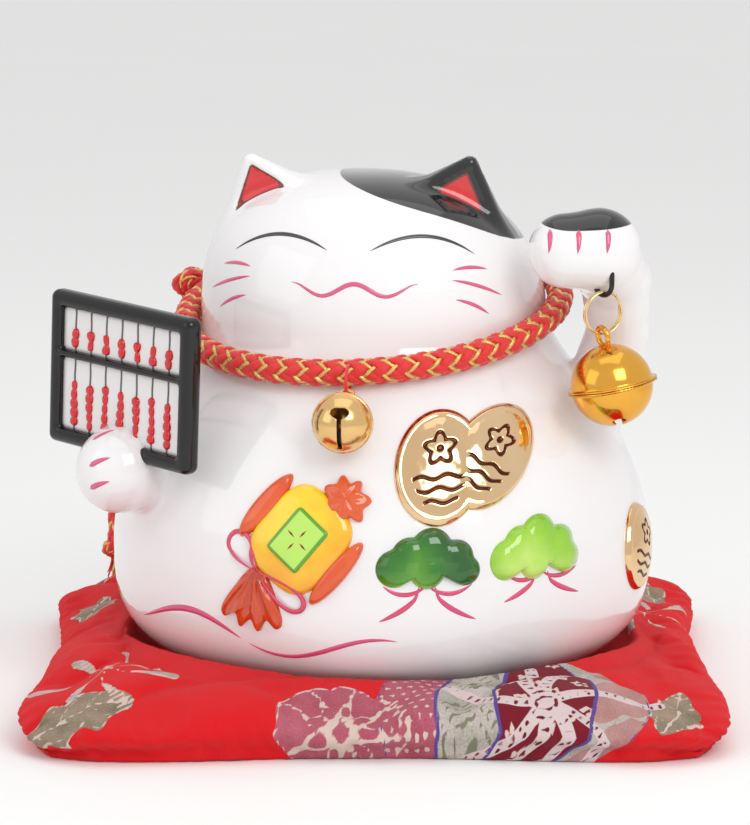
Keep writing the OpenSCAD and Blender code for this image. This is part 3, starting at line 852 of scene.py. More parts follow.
def cap_edge(p):
    """Negative inside the black patch round the right ear."""
    q = p - CAP_CENTRE
    wobble = 1.6 * np.sin(0.11 * q[:, 0] + 0.6) + 1.2 * np.cos(0.13 * q[:, 1])
    return np.linalg.norm(q, axis=1) - CAP_R + 0.07 * q[:, 0] + wobble


def paw_cap_edge(p):
    """Negative inside the black patch on top of the raised paw."""
    side = (PAW_CAP_MIDDLE - p[:, 0]) / PAW_CAP_HALF
    edge = PAW_CAP_LOW + np.where(side > 0, *PAW_CAP_DIPS) * side**2 - p[:, 2]
    return np.maximum(edge, PAW_CAP_MIDDLE - PAW_CAP_REACH - p[:, 0])


def make_body():
    points, faces = surface_net(cat_distance, *BODY_BOX, BODY_STEP)
    obj = new_object("glazed_body", points, faces)
    set_normals(obj, unit(gradient(cat_distance, points)))
    above_head = EAR_PAINT_FADE * (EAR_PAINT_CLEAR - belly_distance(points))
    on_ear = np.maximum(RIGHT_EAR.patch(points, -3.0), above_head)
    set_attribute(obj, "cap", smooth_min(cap_edge(points), on_ear, 2.0))
    set_attribute(obj, "paw_cap", paw_cap_edge(points))
    ears = np.minimum(LEFT_EAR.patch(points, LEFT_RED_INSET), RIGHT_EAR.patch(points, RIGHT_RED_INSET))
    set_attribute(obj, "ear_red", smooth_max(ears, above_head, 1.0))
    set_attribute(obj, "height", points[:, 2])
    return finished(obj, "figurine", "white_glaze", body_glaze(), "body_shell", "raised_arm", "abacus_arm")


make_body()


# ---- painted strokes ----------------------------------------------------------------------

STROKE_RISE = 0.22
STROKE_STEP = 0.8
STROKE_SECTION = [(-1, 0), (-0.6, 0.8), (0, 1), (0.6, 0.8), (1, 0), (0.6, -0.8), (-0.6, -0.8)]


def stroke(points, width, field=cat_distance, heavy=1.0):
    """A thin lens of enamel along a curve on the surface, tapering at both ends.

    heavy under 1 moves the widest place towards the start."""
    length = sum(math.dist(a, b) for a, b in zip(points[:-1], points[1:]))
    count = max(8, int(length / STROKE_STEP))
    flat = spline(points, count)
    p, n = cast(flat[:, 0], flat[:, 1], field)
    t = np.linspace(0, 1, count)
    taper = np.clip(np.sin(math.pi * t**heavy), 0, 1) ** 0.6
    half = 0.5 * width * np.maximum(taper, 0.06)
    side = unit(np.cross(directions(p), n))
    rise = STROKE_RISE * np.minimum(1, half / 0.4)
    ring = [p + a * half[:, None] * side + b * rise[:, None] * n for a, b in STROKE_SECTION]
    sides = len(STROKE_SECTION)
    return np.stack(ring, axis=1).reshape(-1, 3), grid_faces(count, sides) + end_caps(count, sides)


def strokes(name, slot, material, parts):
    """One painted piece made of several strokes."""
    finished(new_object(name, *joined(parts)), "figurine", slot, material)


def arch(middle, half, rise, lean=0.0):
    """A shallow bow of given half length, bulging by rise and leaning by degrees."""
    t = np.linspace(-1, 1, 9)
    return middle + turned(np.column_stack([half * t, rise * (1 - t * t)]), lean)


FACE_MIDDLE = -2.5
EYE_SPACING = 20.0
EYE_HEIGHT = 131.0
EYE_HALF = 14.0
EYE_RISE = 4.5
EYE_LEAN = 4.0
MOUTH_HEIGHT = 121.5
MOUTH_HALF = 18.0
MOUTH_DIP = 1.7
MOUTH_SHIFT = 2.0
# Each side's three whiskers: height, reach from the middle of the face, half length, lean.
WHISKERS = [(126, 33, 4.5, 3), (121, 35, 7, 22), (116, 34, 5, 28)]
RAISED_CLAWS = (61, 135.2)
RAISED_CLAW_PITCH = 8.0
HOLDING_CLAWS = (-70, 74)
HOLDING_CLAW_PITCH = 6.5


def make_face():
    grey = glaze("eye_paint", (0.03, 0.03, 0.035)).material
    pink = glaze("pink_paint", (0.72, 0.10, 0.22)).material
    sides = (-1, 1)
    strokes("eyes", "black_glaze", grey, [
        stroke(arch((FACE_MIDDLE + EYE_SPACING * w, EYE_HEIGHT), EYE_HALF, EYE_RISE, -EYE_LEAN * w), 1.3)
        for w in sides])
    t = np.linspace(-1, 1, 17)
    across = FACE_MIDDLE + MOUTH_SHIFT + MOUTH_HALF * t
    lips = MOUTH_HEIGHT + MOUTH_DIP * np.cos(2 * math.pi * t)
    strokes("mouth", "red_glaze", pink, [stroke(np.column_stack([across, lips]), 1.35)])
    strokes("whiskers", "red_glaze", pink, [
        stroke(arch((FACE_MIDDLE + w * reach, height), half, 0.7, -w * lean), 1.1)
        for w in sides for height, reach, half, lean in WHISKERS])
    marks = []
    for k in (-1, 0, 1):
        marks.append(arch((RAISED_CLAWS[0] + RAISED_CLAW_PITCH * k, RAISED_CLAWS[1]), 3.2, 0.3, -90))
    for k in (-1, 0, 1):
        marks.append(arch((HOLDING_CLAWS[0], HOLDING_CLAWS[1] + HOLDING_CLAW_PITCH * k), 3.4, 0.4, 24))
    strokes("claw_marks", "red_glaze", pink, [stroke(mark, 1.6, heavy=0.55) for mark in marks])


make_face()


# ---- raised motifs ---------------------------------------------------------------------------

RELIEF = 2.6
ROOT = 0.8


def relief(centre, outline, height, rows=14, turn=0.0, top=None, edge=2.6):
    """A raised motif: outline gives points round the centre, top may add to the height.

    Returns points, faces and each point's place on the motif's own flat plane."""
    ring = np.asarray(outline, float)
    sides = len(ring)
    shares = np.linspace(1, 0, rows + 1)[:-1] ** 0.8
    flat = np.vstack([ring * s for s in shares] + [np.zeros((1, 2))])
    share = np.concatenate([np.repeat(shares, sides), [0]])
    rise = height * (1 - share**edge) ** (1 / edge)
    if top is not None:
        rise = top(flat, share, rise)
    p, n = cast(centre[0] + flat[:, 0], centre[1] + flat[:, 1], belly_distance, turn)
    over = p + n * rise[:, None]
    under = p[:sides] - n[:sides] * ROOT
    points = np.vstack([over, under, [p[-1] - n[-1] * ROOT]])
    faces = grid_faces(rows, sides)
    middle = len(over) - 1
    low = len(over)
    for i in range(sides):
        k = (i + 1) % sides
        faces.append(((rows - 1) * sides + i, (rows - 1) * sides + k, middle))
        faces.append((i, low + i, low + k, k))
        faces.append((low + k, low + i, low + sides))
    plane = np.vstack([flat, flat[:sides], [[0, 0]]])
    return points, faces, plane


def motif(name, slot, material, node, parts):
    """One raised piece, which carries its place on its own plane for its paint."""
    obj = new_object(name, *joined([(p, f) for p, f, _ in parts]))
    plane = np.vstack([q for _, _, q in parts])
    set_attribute(obj, "across", plane[:, 0])
    set_attribute(obj, "upward", plane[:, 1])
    return finished(obj, "figurine", slot, material, node)


def oval(half_w, half_h, lean=0.0, count=72, power=2.0):
    """An ellipse, or with a higher power a rounded box."""
    a = np.arange(count) * 2 * math.pi / count
    c, s = np.cos(a), np.sin(a)
    x = half_w * np.sign(c) * np.abs(c) ** (2 / power)
    y = half_h * np.sign(s) * np.abs(s) ** (2 / power)
    return turned(np.column_stack([x, y]), lean)


MALLET_CENTRE = np.array([-12.0, 56.0])
MALLET_LEAN = -40
BARREL_LENGTH = 21
BARREL_R = 14
BAND_WIDTH = 5.5
LABEL = (11, 14.5)
LABEL_RISE = 0.45
KNOB_R = 5.6
KNOB_LOBES = 7


def in_mallet(x, y):
    """A place along and across the mallet's barrel."""
    return MALLET_CENTRE + turned([[x, y]], MALLET_LEAN)[0]


def make_mallet():
    yellow = glaze("yellow_glaze", (0.95, 0.62, 0.03))
    y = yellow.attribute("upward")
    x = yellow.attribute("across")
    shade = (yellow.noise(70, 2) - 0.5) * 3 + y * -0.05 + x * 0.02
    yellow.set(base_color=yellow.mix(shade.below(0.1, 0.9), (0.90, 0.38, 0.01), (0.98, 0.66, 0.02)))
    barrel = relief(MALLET_CENTRE, oval(BARREL_LENGTH / 2 + 1.4, BARREL_R, MALLET_LEAN, power=3.2), RELIEF)
    motif("mallet_barrel_glaze", "yellow_glaze", yellow.material, "mallet_barrel", [barrel])

    orange = glaze("orange_glaze", (0.85, 0.17, 0.03))
    streak = orange.noise(120, 3)
    orange.set(base_color=orange.mix(streak, (0.62, 0.035, 0.010), (0.86, 0.15, 0.020)))
    bands = []
    for side in (-1, 1):
        centre = in_mallet(side * (BARREL_LENGTH / 2 + BAND_WIDTH / 2), 0)
        ring = oval(BAND_WIDTH / 2, BARREL_R * 0.8, MALLET_LEAN)
        bands.append(relief(centre, ring, RELIEF * 0.9, rows=8))
    motif("mallet_bands_glaze", "orange_glaze", orange.material, "mallet_bands", bands)

    a = np.arange(84) * 2 * math.pi / 84
    ruffle = KNOB_R * (1 + 0.16 * np.cos(KNOB_LOBES * a) + 0.1 * np.cos(2 * a + 0.8))
    ring = np.column_stack([ruffle * np.cos(a), ruffle * 1.05 * np.sin(a)])

    def lobed(q, share, rise):
        return rise * (1 - 0.22 * share * np.cos(KNOB_LOBES * np.arctan2(q[:, 1], q[:, 0])))

    knob = relief(in_mallet(2.5, BARREL_R + 2.6), ring, RELIEF, top=lobed)
    motif("mallet_knob_glaze", "orange_glaze", orange.material, "mallet_knob", [knob])

    green = glaze("label_glaze", (0.42, 0.72, 0.08))
    u, v = green.attribute("across"), green.attribute("upward")
    turn = math.radians(-MALLET_LEAN)
    p = u * math.cos(turn) - v * math.sin(turn)
    q = u * math.sin(turn) + v * math.cos(turn)
    edge = (p.abs() - LABEL[0] / 2).max(q.abs() - LABEL[1] / 2)
    petals = (u.abs() - v.abs()).abs() * 1.4 + ((u * u + v * v).sqrt() - 2.3).abs() * 0.45
    color = green.mix(edge.below(-1.1, 0.12), (0.10, 0.36, 0.02), (0.50, 0.80, 0.13))
    color = green.mix(petals.below(0.62, 0.1), color, (0.24, 0.03, 0.01))
    green.set(base_color=color)
    box = oval(LABEL[0] / 2 * 1.02, LABEL[1] / 2 * 1.02, MALLET_LEAN, count=96, power=14)
    label = relief(MALLET_CENTRE, box, RELIEF + LABEL_RISE, edge=9)
    motif("mallet_label_glaze", "lime_glaze", green.material, "mallet_label", [label])


TASSEL_NECK = (-24.0, 47.0)
TASSEL_NECK_HALF = 2.5
TASSEL_LENGTH = 17.0
TASSEL_NOTCH = 3.0
TASSEL_SPREAD = 38.0
TASSEL_FOLDS = 4
TASSEL_LEAN = -8.0
TASSEL_CENTRE = (TASSEL_NECK[0], TASSEL_NECK[1] - TASSEL_LENGTH / 2)


def tassel_outline():
    """A fan of folds below a narrow neck, its hem cut into points, about its own middle."""
    hem = []
    for k in range(2 * TASSEL_FOLDS + 1):
        lean = math.radians(TASSEL_SPREAD * (1 - k / TASSEL_FOLDS))
        reach = TASSEL_LENGTH - (TASSEL_NOTCH if k % 2 == 0 else 0)
        hem.append((reach * math.sin(lean), -reach * math.cos(lean)))
    corners = [(-TASSEL_NECK_HALF, 0), (TASSEL_NECK_HALF, 0)] + hem
    return turned(corners, TASSEL_LEAN) + [0, TASSEL_LENGTH / 2]


def make_tassel():
    red = glaze("tassel_glaze", (0.75, 0.09, 0.02))
    u, v = red.attribute("across"), red.attribute("upward")
    rays = (v - 9).angle(u)
    streaks = red.noise(1.0, 3, red.combine(rays * 14, (u * u + v * v).sqrt() * 0.25))
    red.set(base_color=red.mix(streaks, (0.42, 0.010, 0.006), (0.84, 0.11, 0.012)))
    ring = spline(tassel_outline(), 104, closed=True)

    def folds(q, share, rise):
        angle = np.arctan2(q[:, 0], TASSEL_LENGTH / 2 - q[:, 1])
        return rise * (0.75 + 0.25 * np.cos(15 * angle))

    parts = [relief(TASSEL_CENTRE, ring, RELIEF, rows=16, top=folds)]
    motif("mallet_tassel_glaze", "orange_glaze", red.material, "mallet_tassel", parts)
    ribbon = glaze("ribbon_paint", (0.68, 0.05, 0.13)).material
    strokes("ribbon_loops", "red_glaze", ribbon, [
        stroke(bow_loop(TASSEL_NECK, 12, 3.4, 128), 1.5, field=raised_belly),
        stroke(bow_loop(TASSEL_NECK, 16, 3.0, -36), 1.5, field=raised_belly),
        stroke(arch((TASSEL_NECK[0] - 1, TASSEL_NECK[1] + 4), 3.5, 0.8, 100), 1.2, field=raised_belly),
    ])


def bow_loop(knot, length, half_width, lean):
    """A drop-shaped loop that leaves the knot and comes back to it."""
    t = np.linspace(0, 1, 13)
    return np.asarray(knot) + turned(
        np.column_stack([length * np.sin(math.pi * t), half_width * np.sin(2 * math.pi * t)]), lean)


RIBBON_RISE = 2.2
RIBBON_TOP = (-17, 50)
RIBBON_REACH = 15


def raised_belly(p):
    """The belly's surface where the ribbon crosses the raised motifs."""
    away = np.hypot(p[:, 0] - RIBBON_TOP[0], p[:, 2] - RIBBON_TOP[1])
    return belly_distance(p) - RIBBON_RISE * np.clip(1 - away / RIBBON_REACH, 0, 1) ** 0.5


make_mallet()
make_tassel()


# The front coin's half width and half height, which its marks are drawn for.
KOBAN = (12, 15)
BLOSSOM_UP = 4.5


def koban_material():
    """Gold lustre with a painted red-brown reflection along the upper rim, and plain dark marks."""
    n = Nodes("gold_lustre")
    u, v = n.attribute("across"), n.attribute("upward")
    mark = n.attribute("mark")
    rim_reflection_reach = ((u * u) * (1 / KOBAN[0] ** 2) + (v * v) * (1 / KOBAN[1] ** 2)).sqrt()
    gold = n.mix(n.noise(55, 2), (0.74, 0.44, 0.20), (0.93, 0.70, 0.44))
    # Painted reflection: a red-brown band near the rim, on the upper half of the coin only.
    edge = rim_reflection_reach.below(0.93, 0.06) * -1 + 1
    top = (v * 0.12).max(0).min(1)
    gold = n.mix(edge * top, gold, (0.62, 0.10, 0.06))
    gold = n.mix(mark.below(0.0, 0.14), gold, (0.10, 0.028, 0.014))
    n.set(base_color=gold, metallic=1.0, roughness=0.09)
    n.bump(n.noise(110, 2), 0.5, 0.0012)
    return n.material


def coin_marks(q):
    """Distance to a five-petal blossom above three ripple bars, negative inside a mark."""
    x, y = q[:, 0], q[:, 1]
    a = np.arctan2(x, y - BLOSSOM_UP)
    r = np.hypot(x, y - BLOSSOM_UP)
    petal = np.abs(r - 3.3 - 0.8 * np.cos(5 * a)) - 0.62
    d = np.minimum(petal, r - 1.0)
    for k, half in ((0, 7.4), (1, 6.4), (2, 4.6)):
        line = np.abs(y + 2.6 + 3.1 * k - 0.5 * np.sin(0.9 * x + 2.0 * k)) - 0.55
        d = np.minimum(d, np.maximum(line, np.abs(x) - half))
    return d


def make_koban(name, node, centre, lean, size, turn=0.0):
    """An oval coin with a raised lip and sunk marks."""
    def marks(q):
        return coin_marks(turned(q, -lean) * KOBAN[0] / size[0])

    def top(q, share, rise):
        lip = 0.35 * np.exp(-(((share - 0.9) / 0.05) ** 2))
        return rise + lip - 0.7 * np.clip(-marks(q), 0, 0.5)

    ring = oval(*size, lean, count=140)
    points, faces, plane = relief(centre, ring, RELIEF, rows=56, turn=turn, top=top, edge=2.2)
    obj = motif(name, "gold_lustre", koban_material(), node, [(points, faces, turned(plane, -lean))])
    set_attribute(obj, "mark", marks(plane))


make_koban("koban_front_gold", "koban_front", (25, 75), 4, KOBAN)
make_koban("koban_back_gold", "koban_back", (38, 77), -27, (10.7, 13.8))
make_koban("koban_side_gold", "koban_side", (1, 45.5), -20, (10.5, 12.5), turn=77)


# Each tuft's centre and radius, on a crown of PINE_SIZE.
TUFTS = [(-9.5, -2, 5.5), (-5, 1.5, 5.5), (1, 3.5, 6), (8, 1, 5), (10.5, -3, 4.5), (0, -3, 5)]
PINE_SIZE = (30, 17)


def make_pine(name, slot, node, centre, size, dark, light, glow):
    """A puffy tree crown: the highest of several round tufts."""
    sx, sy = size[0] / PINE_SIZE[0], size[1] / PINE_SIZE[1]
    a = np.arange(120) * 2 * math.pi / 120
    reach = np.zeros(len(a))
    for x, y, r in TUFTS:
        along = x * np.cos(a) + y * np.sin(a)
        off = np.abs(-x * np.sin(a) + y * np.cos(a))
        reach = np.maximum(reach, np.where(off < r, along + np.sqrt(np.maximum(r * r - off * off, 0)), 0))
    reach = (reach + 0.5 * (np.roll(reach, 1) + np.roll(reach, -1))) / 2
    ring = np.column_stack([reach * np.cos(a) * sx, reach * np.sin(a) * sy])

    def puffs(q, share, rise):
        x, y = q[:, 0] / sx, q[:, 1] / sy
        best = np.zeros(len(q))
        for cx, cy, r in TUFTS:
            dome = np.sqrt(np.clip(1 - ((x - cx) ** 2 + (y - cy) ** 2) / (1.15 * r) ** 2, 0, 1))
            best = np.maximum(best, dome)
        return np.minimum(rise * 1.3, RELIEF * (0.25 + 0.8 * best)) * (1 - share**8)

    n = glaze(name, light)
    u, v = n.attribute("across"), n.attribute("upward")
    tone = (n.noise(45, 3) - 0.5) * 1.6 + v * -0.06 - (u + 3).abs() * 0.04 + 0.55
    n.set(base_color=n.mix(tone.max(0).min(1), dark, n.mix((tone - 0.35).max(0).min(1), light, glow)))
    motif(name, slot, n.material, node, [relief(centre, ring, RELIEF, rows=22, top=puffs)])


def trunk(top, size):
    """Two roots that drop and sweep outwards, and a bow under each half of the crown."""
    t = np.linspace(0, 1, 7)
    lines = []
    for side in (-1, 1):
        root = np.column_stack([side * (2 + 11 * t**1.3), -10 * t**0.6])
        lines.append(stroke(np.asarray(top) + size * root, 1.5, field=belly_distance))
        bow = arch((top[0] + side * 6 * size, top[1]), 6 * size, -2.5 * size)
        lines.append(stroke(bow, 1.3, field=belly_distance))
    return lines


def make_trunks():
    pink = glaze("trunk_paint", (0.70, 0.05, 0.16)).material
    strokes("tree_trunks", "red_glaze", pink, trunk((23, 44.5), 1.0) + trunk((53, 46), 0.75))


make_pine("pine_dark_glaze", "pine_glaze", "pine_dark", (23, 51), (28, 16),
          (0.010, 0.10, 0.006), (0.05, 0.33, 0.010), (0.34, 0.66, 0.04))
make_pine("pine_light_glaze", "lime_glaze", "pine_light", (51, 52), (23, 17),
          (0.22, 0.52, 0.02), (0.42, 0.74, 0.04), (0.75, 0.90, 0.30))
make_trunks()


HEM_START, HEM_END = -61.0, 15.0
HEM_PITCH = 56.0
HEM_HEIGHT = 29.0


def hem(first, last):
    """Part of the wave, which settles and sinks a little as it runs to the right."""
    share = np.linspace(first, last, 13)
    x = HEM_START + (HEM_END - HEM_START) * share
    wave = (5.5 - 2.5 * share) * np.sin(2 * math.pi * (x - HEM_START - 3) / HEM_PITCH)
    return np.column_stack([x, HEM_HEIGHT + wave - 3 * share])


def make_hem():
    """The long wavy line round the bottom of the belly, in two brush strokes."""
    pink = glaze("hem_paint", (0.66, 0.06, 0.17)).material
    strokes("hem_line", "red_glaze", pink, [
        stroke(hem(0, 0.42), 1.9, field=belly_distance),
        stroke(hem(0.45, 1), 1.5, field=belly_distance),
    ])


make_hem()


# ---- abacus ------------------------------------------------------------------------------------

ABACUS_CENTRE = np.array([-65, -46, 95.3])
ABACUS_YAW = math.radians(-37)
ABACUS_ROLL = math.radians(3)
ABACUS_SIZE = (58, 6, 44)
FRAME_BAR = 4.6
RODS = 7
INNER = (48.8, 34.8)
DIVIDER_Z = INNER[1] * 0.12
DIVIDER_HALF = FRAME_BAR / 4
LOWER_TOP = DIVIDER_Z - DIVIDER_HALF
UPPER_LOW = DIVIDER_Z + DIVIDER_HALF
ROD_PITCH = INNER[0] / (RODS + 0.6)
PANEL_FRONT = -1.0
PANEL_BACK = 2.4
PANEL_TUCK = 0.4
ROD_TUCK = 0.5
ROD_ROWS = 18


def turn_z(q, angle):
    """Points turned about Z, in radians."""
    c, s = math.cos(angle), math.sin(angle)
    return np.column_stack([q[:, 0] * c - q[:, 1] * s, q[:, 0] * s + q[:, 1] * c, q[:, 2]])


def turn_y(q, angle):
    """Points turned about Y, in radians."""
    c, s = math.cos(angle), math.sin(angle)
    return np.column_stack([q[:, 0] * c + q[:, 2] * s, q[:, 1], -q[:, 0] * s + q[:, 2] * c])


def on_abacus(q):
    """Points of the upright abacus where it is held."""
    return ABACUS_CENTRE + turn_z(turn_y(np.asarray(q, float), ABACUS_ROLL), ABACUS_YAW)


def frame_distance(p):
    """Four round bars and a divider, with softened corners inside and out."""
    outer = box_distance(p, np.array(ABACUS_SIZE) / 2, 2.4)
    half_w, half_h = INNER[0] / 2, INNER[1] / 2
    upper = half_h - DIVIDER_Z - DIVIDER_HALF
    lower = half_h + DIVIDER_Z - DIVIDER_HALF
    holes = None
    for middle, tall in ((half_h - upper / 2, upper), (-half_h + lower / 2, lower)):
        q = np.column_stack([p[:, 0], 0 * p[:, 1], p[:, 2] - middle])
        hole = box_distance(q, (half_w, 50, tall / 2), 0.8)
        holes = hole if holes is None else np.minimum(holes, hole)
    return smooth_max(outer, -holes, 2.0)


def make_abacus():
    black = glaze("black_glaze", BLACK, coat=0.0)
    size = np.array(ABACUS_SIZE) / 2 + 1.2
    points, faces = surface_net(frame_distance, -size, size, 0.6)
    obj = new_object("abacus_frame_glaze", on_abacus(points), faces)
    normals = unit(gradient(frame_distance, points))
    set_normals(obj, turn_z(turn_y(normals, ABACUS_ROLL), ABACUS_YAW))
    finished(obj, "figurine", "black_glaze", black.material, "abacus_frame")

    finished(new_object("abacus_panel_glaze", *joined(panel_parts())), "figurine", "white_glaze",
             glaze("panel_glaze", (0.80, 0.78, 0.775), wave=0.5).material, "abacus_panel")
    rods, beads = [], []
    for i in range(RODS):
        x = (i - (RODS - 1) / 2) * ROD_PITCH
        rods.append(rod(x, UPPER_LOW, INNER[1] / 2, i))
        rods.append(rod(x, -INNER[1] / 2, LOWER_TOP, i))
        drop = 6.0 + 0.5 * math.sin(2.1 * i)
        beads.append(bead_column(x, LOWER_TOP - drop - 13.4, LOWER_TOP - drop, 5, i))
        beads.append(bead_column(x, UPPER_LOW + 0.9, UPPER_LOW + 6.6, 2, i + 9))
    finished(new_object("abacus_rods_glaze", *joined(rods)), "figurine", "grey_glaze",
             glaze("rod_glaze", (0.10, 0.09, 0.10)).material, "abacus_rods")
    finished(new_object("abacus_beads_glaze", *joined(beads)), "figurine", "red_glaze",
             glaze("bead_glaze", (0.62, 0.003, 0.010)).material, "abacus_beads")


def panel_parts():
    """The two sheets behind the rods, tucked under the frame."""
    parts = []
    half_w, half_h = INNER[0] / 2 + PANEL_TUCK, INNER[1] / 2 + PANEL_TUCK
    middle = (PANEL_FRONT + PANEL_BACK) / 2
    for low, high in ((UPPER_LOW - PANEL_TUCK, half_h), (-half_h, LOWER_TOP + PANEL_TUCK)):
        half = np.array([half_w, (PANEL_BACK - PANEL_FRONT) / 2, (high - low) / 2])
        points, faces = surface_net(lambda p: box_distance(p, half, 0.4), -half - 1, half + 1, 1.0)
        parts.append((on_abacus(points + [0, middle, (low + high) / 2]), faces))
    return parts


def rod(x, low, high, seed):
    """A slightly wavering rod whose ends sink into the frame."""
    z = np.linspace(low - ROD_TUCK, high + ROD_TUCK, ROD_ROWS)
    path = np.column_stack([x + 0.07 * np.sin(0.9 * z + 2.3 * seed), 0 * z + PANEL_FRONT, z])
    points, faces = tube(path, 0.33, 8, squash=0.8, normals=np.tile([0.0, 1, 0], (ROD_ROWS, 1)))
    return on_abacus(points), faces


def bead_column(x, low, high, beads, seed):
    """Beads pushed together on a rod, proud of the panel."""
    count = beads * 9 + 1
    t = np.linspace(0, 1, count)
    bump = np.abs(np.sin(math.pi * beads * t)) ** 0.6
    widest = 1.28 + 0.22 * np.sin(4.1 * seed + 5 * t)
    end = np.clip(np.sin(math.pi * t) * 6, 0.12, 1) ** 0.5
    radius = (0.62 + 0.38 * bump) * widest * end
    sway = x + 0.12 * np.sin(7 * t + seed)
    path = np.column_stack([sway, 0 * t + PANEL_FRONT + 0.1, low + (high - low) * t])
    points, faces = tube(path, radius, 16, squash=0.95, normals=np.tile([0.0, 1, 0], (count, 1)))
    return on_abacus(points), faces


make_abacus()


# ---- bells, split ring and hook -------------------------------------------------------------------

BELL_WALL = 0.7
LIP_THICK = 0.6
LIP_WAVE = 0.12
COLLAR_BELL_CENTRE = np.array([-0.5, -68.4, 88.6])
COLLAR_BELL_R = 8.05
COLLAR_LIP = 0.35
PAW_BELL_CENTRE = np.array([70.5, -33, 94.6])
PAW_BELL_R = 11.5
PAW_LIP = 1.1
FLANGE_TILT = math.radians(-11)
SLOT_TURN = math.radians(97)
EYELET_R = 2.6
EYELET_SINK = 0.3
EYELET_WIRE = 0.75
BELL_UP = np.array([math.sin(FLANGE_TILT), 0, math.cos(FLANGE_TILT)])
EYELET_CENTRE = PAW_BELL_CENTRE + (PAW_BELL_R + EYELET_R - EYELET_SINK) * BELL_UP
RING_TURN = math.radians(35)
RING_R = 5.9
RING_WIRE = 0.7
LINK_CLEAR = 0.3
RING_CENTRE = EYELET_CENTRE + [0, 0, EYELET_R - EYELET_WIRE - RING_WIRE - LINK_CLEAR + RING_R]
HOOK_R = 3.2
HOOK_TURN = math.radians(-40)
HOOK_CENTRE = RING_CENTRE + [0, 0, RING_R - RING_WIRE - LINK_CLEAR + HOOK_R]


def brass(name, color, roughness=0.13):
    """Thin polished brass plate, a little dull in patches."""
    n = Nodes(name)
    patches = n.noise(90, 4)
    n.set(base_color=n.mix(patches, color, tuple(0.86 * c for c in color)), metallic=1.0)
    n.set(roughness=n.noise(300, 3) * 0.10 + roughness)
    n.bump(n.noise(180, 2), 0.2, 0.0003)
    return n.material


def shell_half(p, r, lip, wave=0.0):
    """Half a hollow ball above z = 0, with a flat lip round its mouth."""
    reach = np.linalg.norm(p, axis=1)
    flat = np.hypot(p[:, 0], p[:, 1])
    a = np.arctan2(p[:, 1], p[:, 0])
    wall = np.abs(reach - r + BELL_WALL / 2) - BELL_WALL / 2
    edge = r + lip * (1 + wave * np.sin(7 * a + 1) + wave * np.sin(4 * a))
    rim = np.maximum(np.maximum(flat - edge, r - BELL_WALL - flat), p[:, 2] - LIP_THICK)
    return smooth_max(smooth_min(wall, rim, 0.5), 0.03 - p[:, 2], 0.2)


def collar_front(p):
    """The half of the small bell that faces out, with its keyhole and slot."""
    half = shell_half(np.column_stack([p[:, 0], p[:, 2], -p[:, 1]]), COLLAR_BELL_R, COLLAR_LIP)
    slot = np.maximum(np.abs(p[:, 0]) - 0.55, p[:, 2] - 4.0)
    slot = np.maximum(slot, -p[:, 2] - COLLAR_BELL_R + 1.6)
    key = (np.hypot(p[:, 0] / 2.5, (p[:, 2] - 3.7 - 0.1 * np.abs(p[:, 0])) / 1.35) - 1) * 1.35
    hole = np.maximum(smooth_min(slot, key, 0.5), p[:, 1] + 1.0)
    return smooth_max(half, -hole, 0.3)


def collar_back(p):
    """The plain half of the small bell."""
    return shell_half(np.column_stack([p[:, 0], p[:, 2], p[:, 1]]), COLLAR_BELL_R, COLLAR_LIP)


def paw_top(p):
    """The upper half of the paw bell."""
    return shell_half(p, PAW_BELL_R, PAW_LIP, LIP_WAVE)


def paw_bottom(p):
    """The lower half of the paw bell, with a slot between two round holes."""
    half = shell_half(p * [1, 1, -1], PAW_BELL_R, PAW_LIP, LIP_WAVE)
    q = turn_z(p, -SLOT_TURN)
    hole = np.maximum(np.abs(q[:, 1]) - 0.9, np.abs(q[:, 0]) - 0.5 * PAW_BELL_R)
    for side in (-1, 1):
        centre = np.array([side * 0.51, 0, -0.86]) * PAW_BELL_R
        hole = smooth_min(hole, np.linalg.norm(q - centre, axis=1) - 1.9, 0.4)
    hole = np.maximum(hole, p[:, 2] + 0.5 * PAW_BELL_R)
    return smooth_max(half, -hole, 0.3)


def make_bell_half(name, field, step, bell, material, node):
    """One pressed half. bell gives its body, radius, centre and tilt."""
    body, r, centre, tilt = bell
    size = r + 2.5
    points, faces = surface_net(field, [-size] * 3, [size] * 3, step)
    obj = new_object(name, centre + turn_y(points, tilt), faces)
    set_normals(obj, turn_y(unit(gradient(field, points, 0.1)), tilt))
    finished(obj, body, "brass", material, node)


def make_bells():
    small = brass("bright_brass", (0.90, 0.58, 0.24))
    large = brass("orange_brass", (0.92, 0.46, 0.07), 0.09)
    collar = ("collar_bell", COLLAR_BELL_R, COLLAR_BELL_CENTRE, 0)
    paw = ("paw_bell", PAW_BELL_R, PAW_BELL_CENTRE, FLANGE_TILT)
    make_bell_half("collar_bell_face", collar_front, 0.28, collar, small, "collar_bell_front")
    make_bell_half("collar_bell_rear", collar_back, 0.4, collar, small, "collar_bell_back")
    make_bell_half("paw_bell_dome", paw_top, 0.36, paw, large, "paw_bell_top")
    make_bell_half("paw_bell_cup", paw_bottom, 0.36, paw, large, "paw_bell_bottom")
    steel = Nodes("clapper_steel")
    steel.set(base_color=steel.mix(steel.noise(200, 3), (0.40, 0.39, 0.38), (0.55, 0.54, 0.52)))
    steel.set(metallic=1.0, roughness=steel.noise(400, 2) * 0.2 + 0.25)
    carry("collar_bell_eyelet", small)
    carry("paw_bell_eyelet", large)
    carry("collar_clapper", steel.material)
    carry("paw_clapper", steel.material)


def carry(node, material):
    """Keep a CAD node and give it a finished material."""
    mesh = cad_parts[node].data
    mesh.materials.clear()
    mesh.materials.append(material)


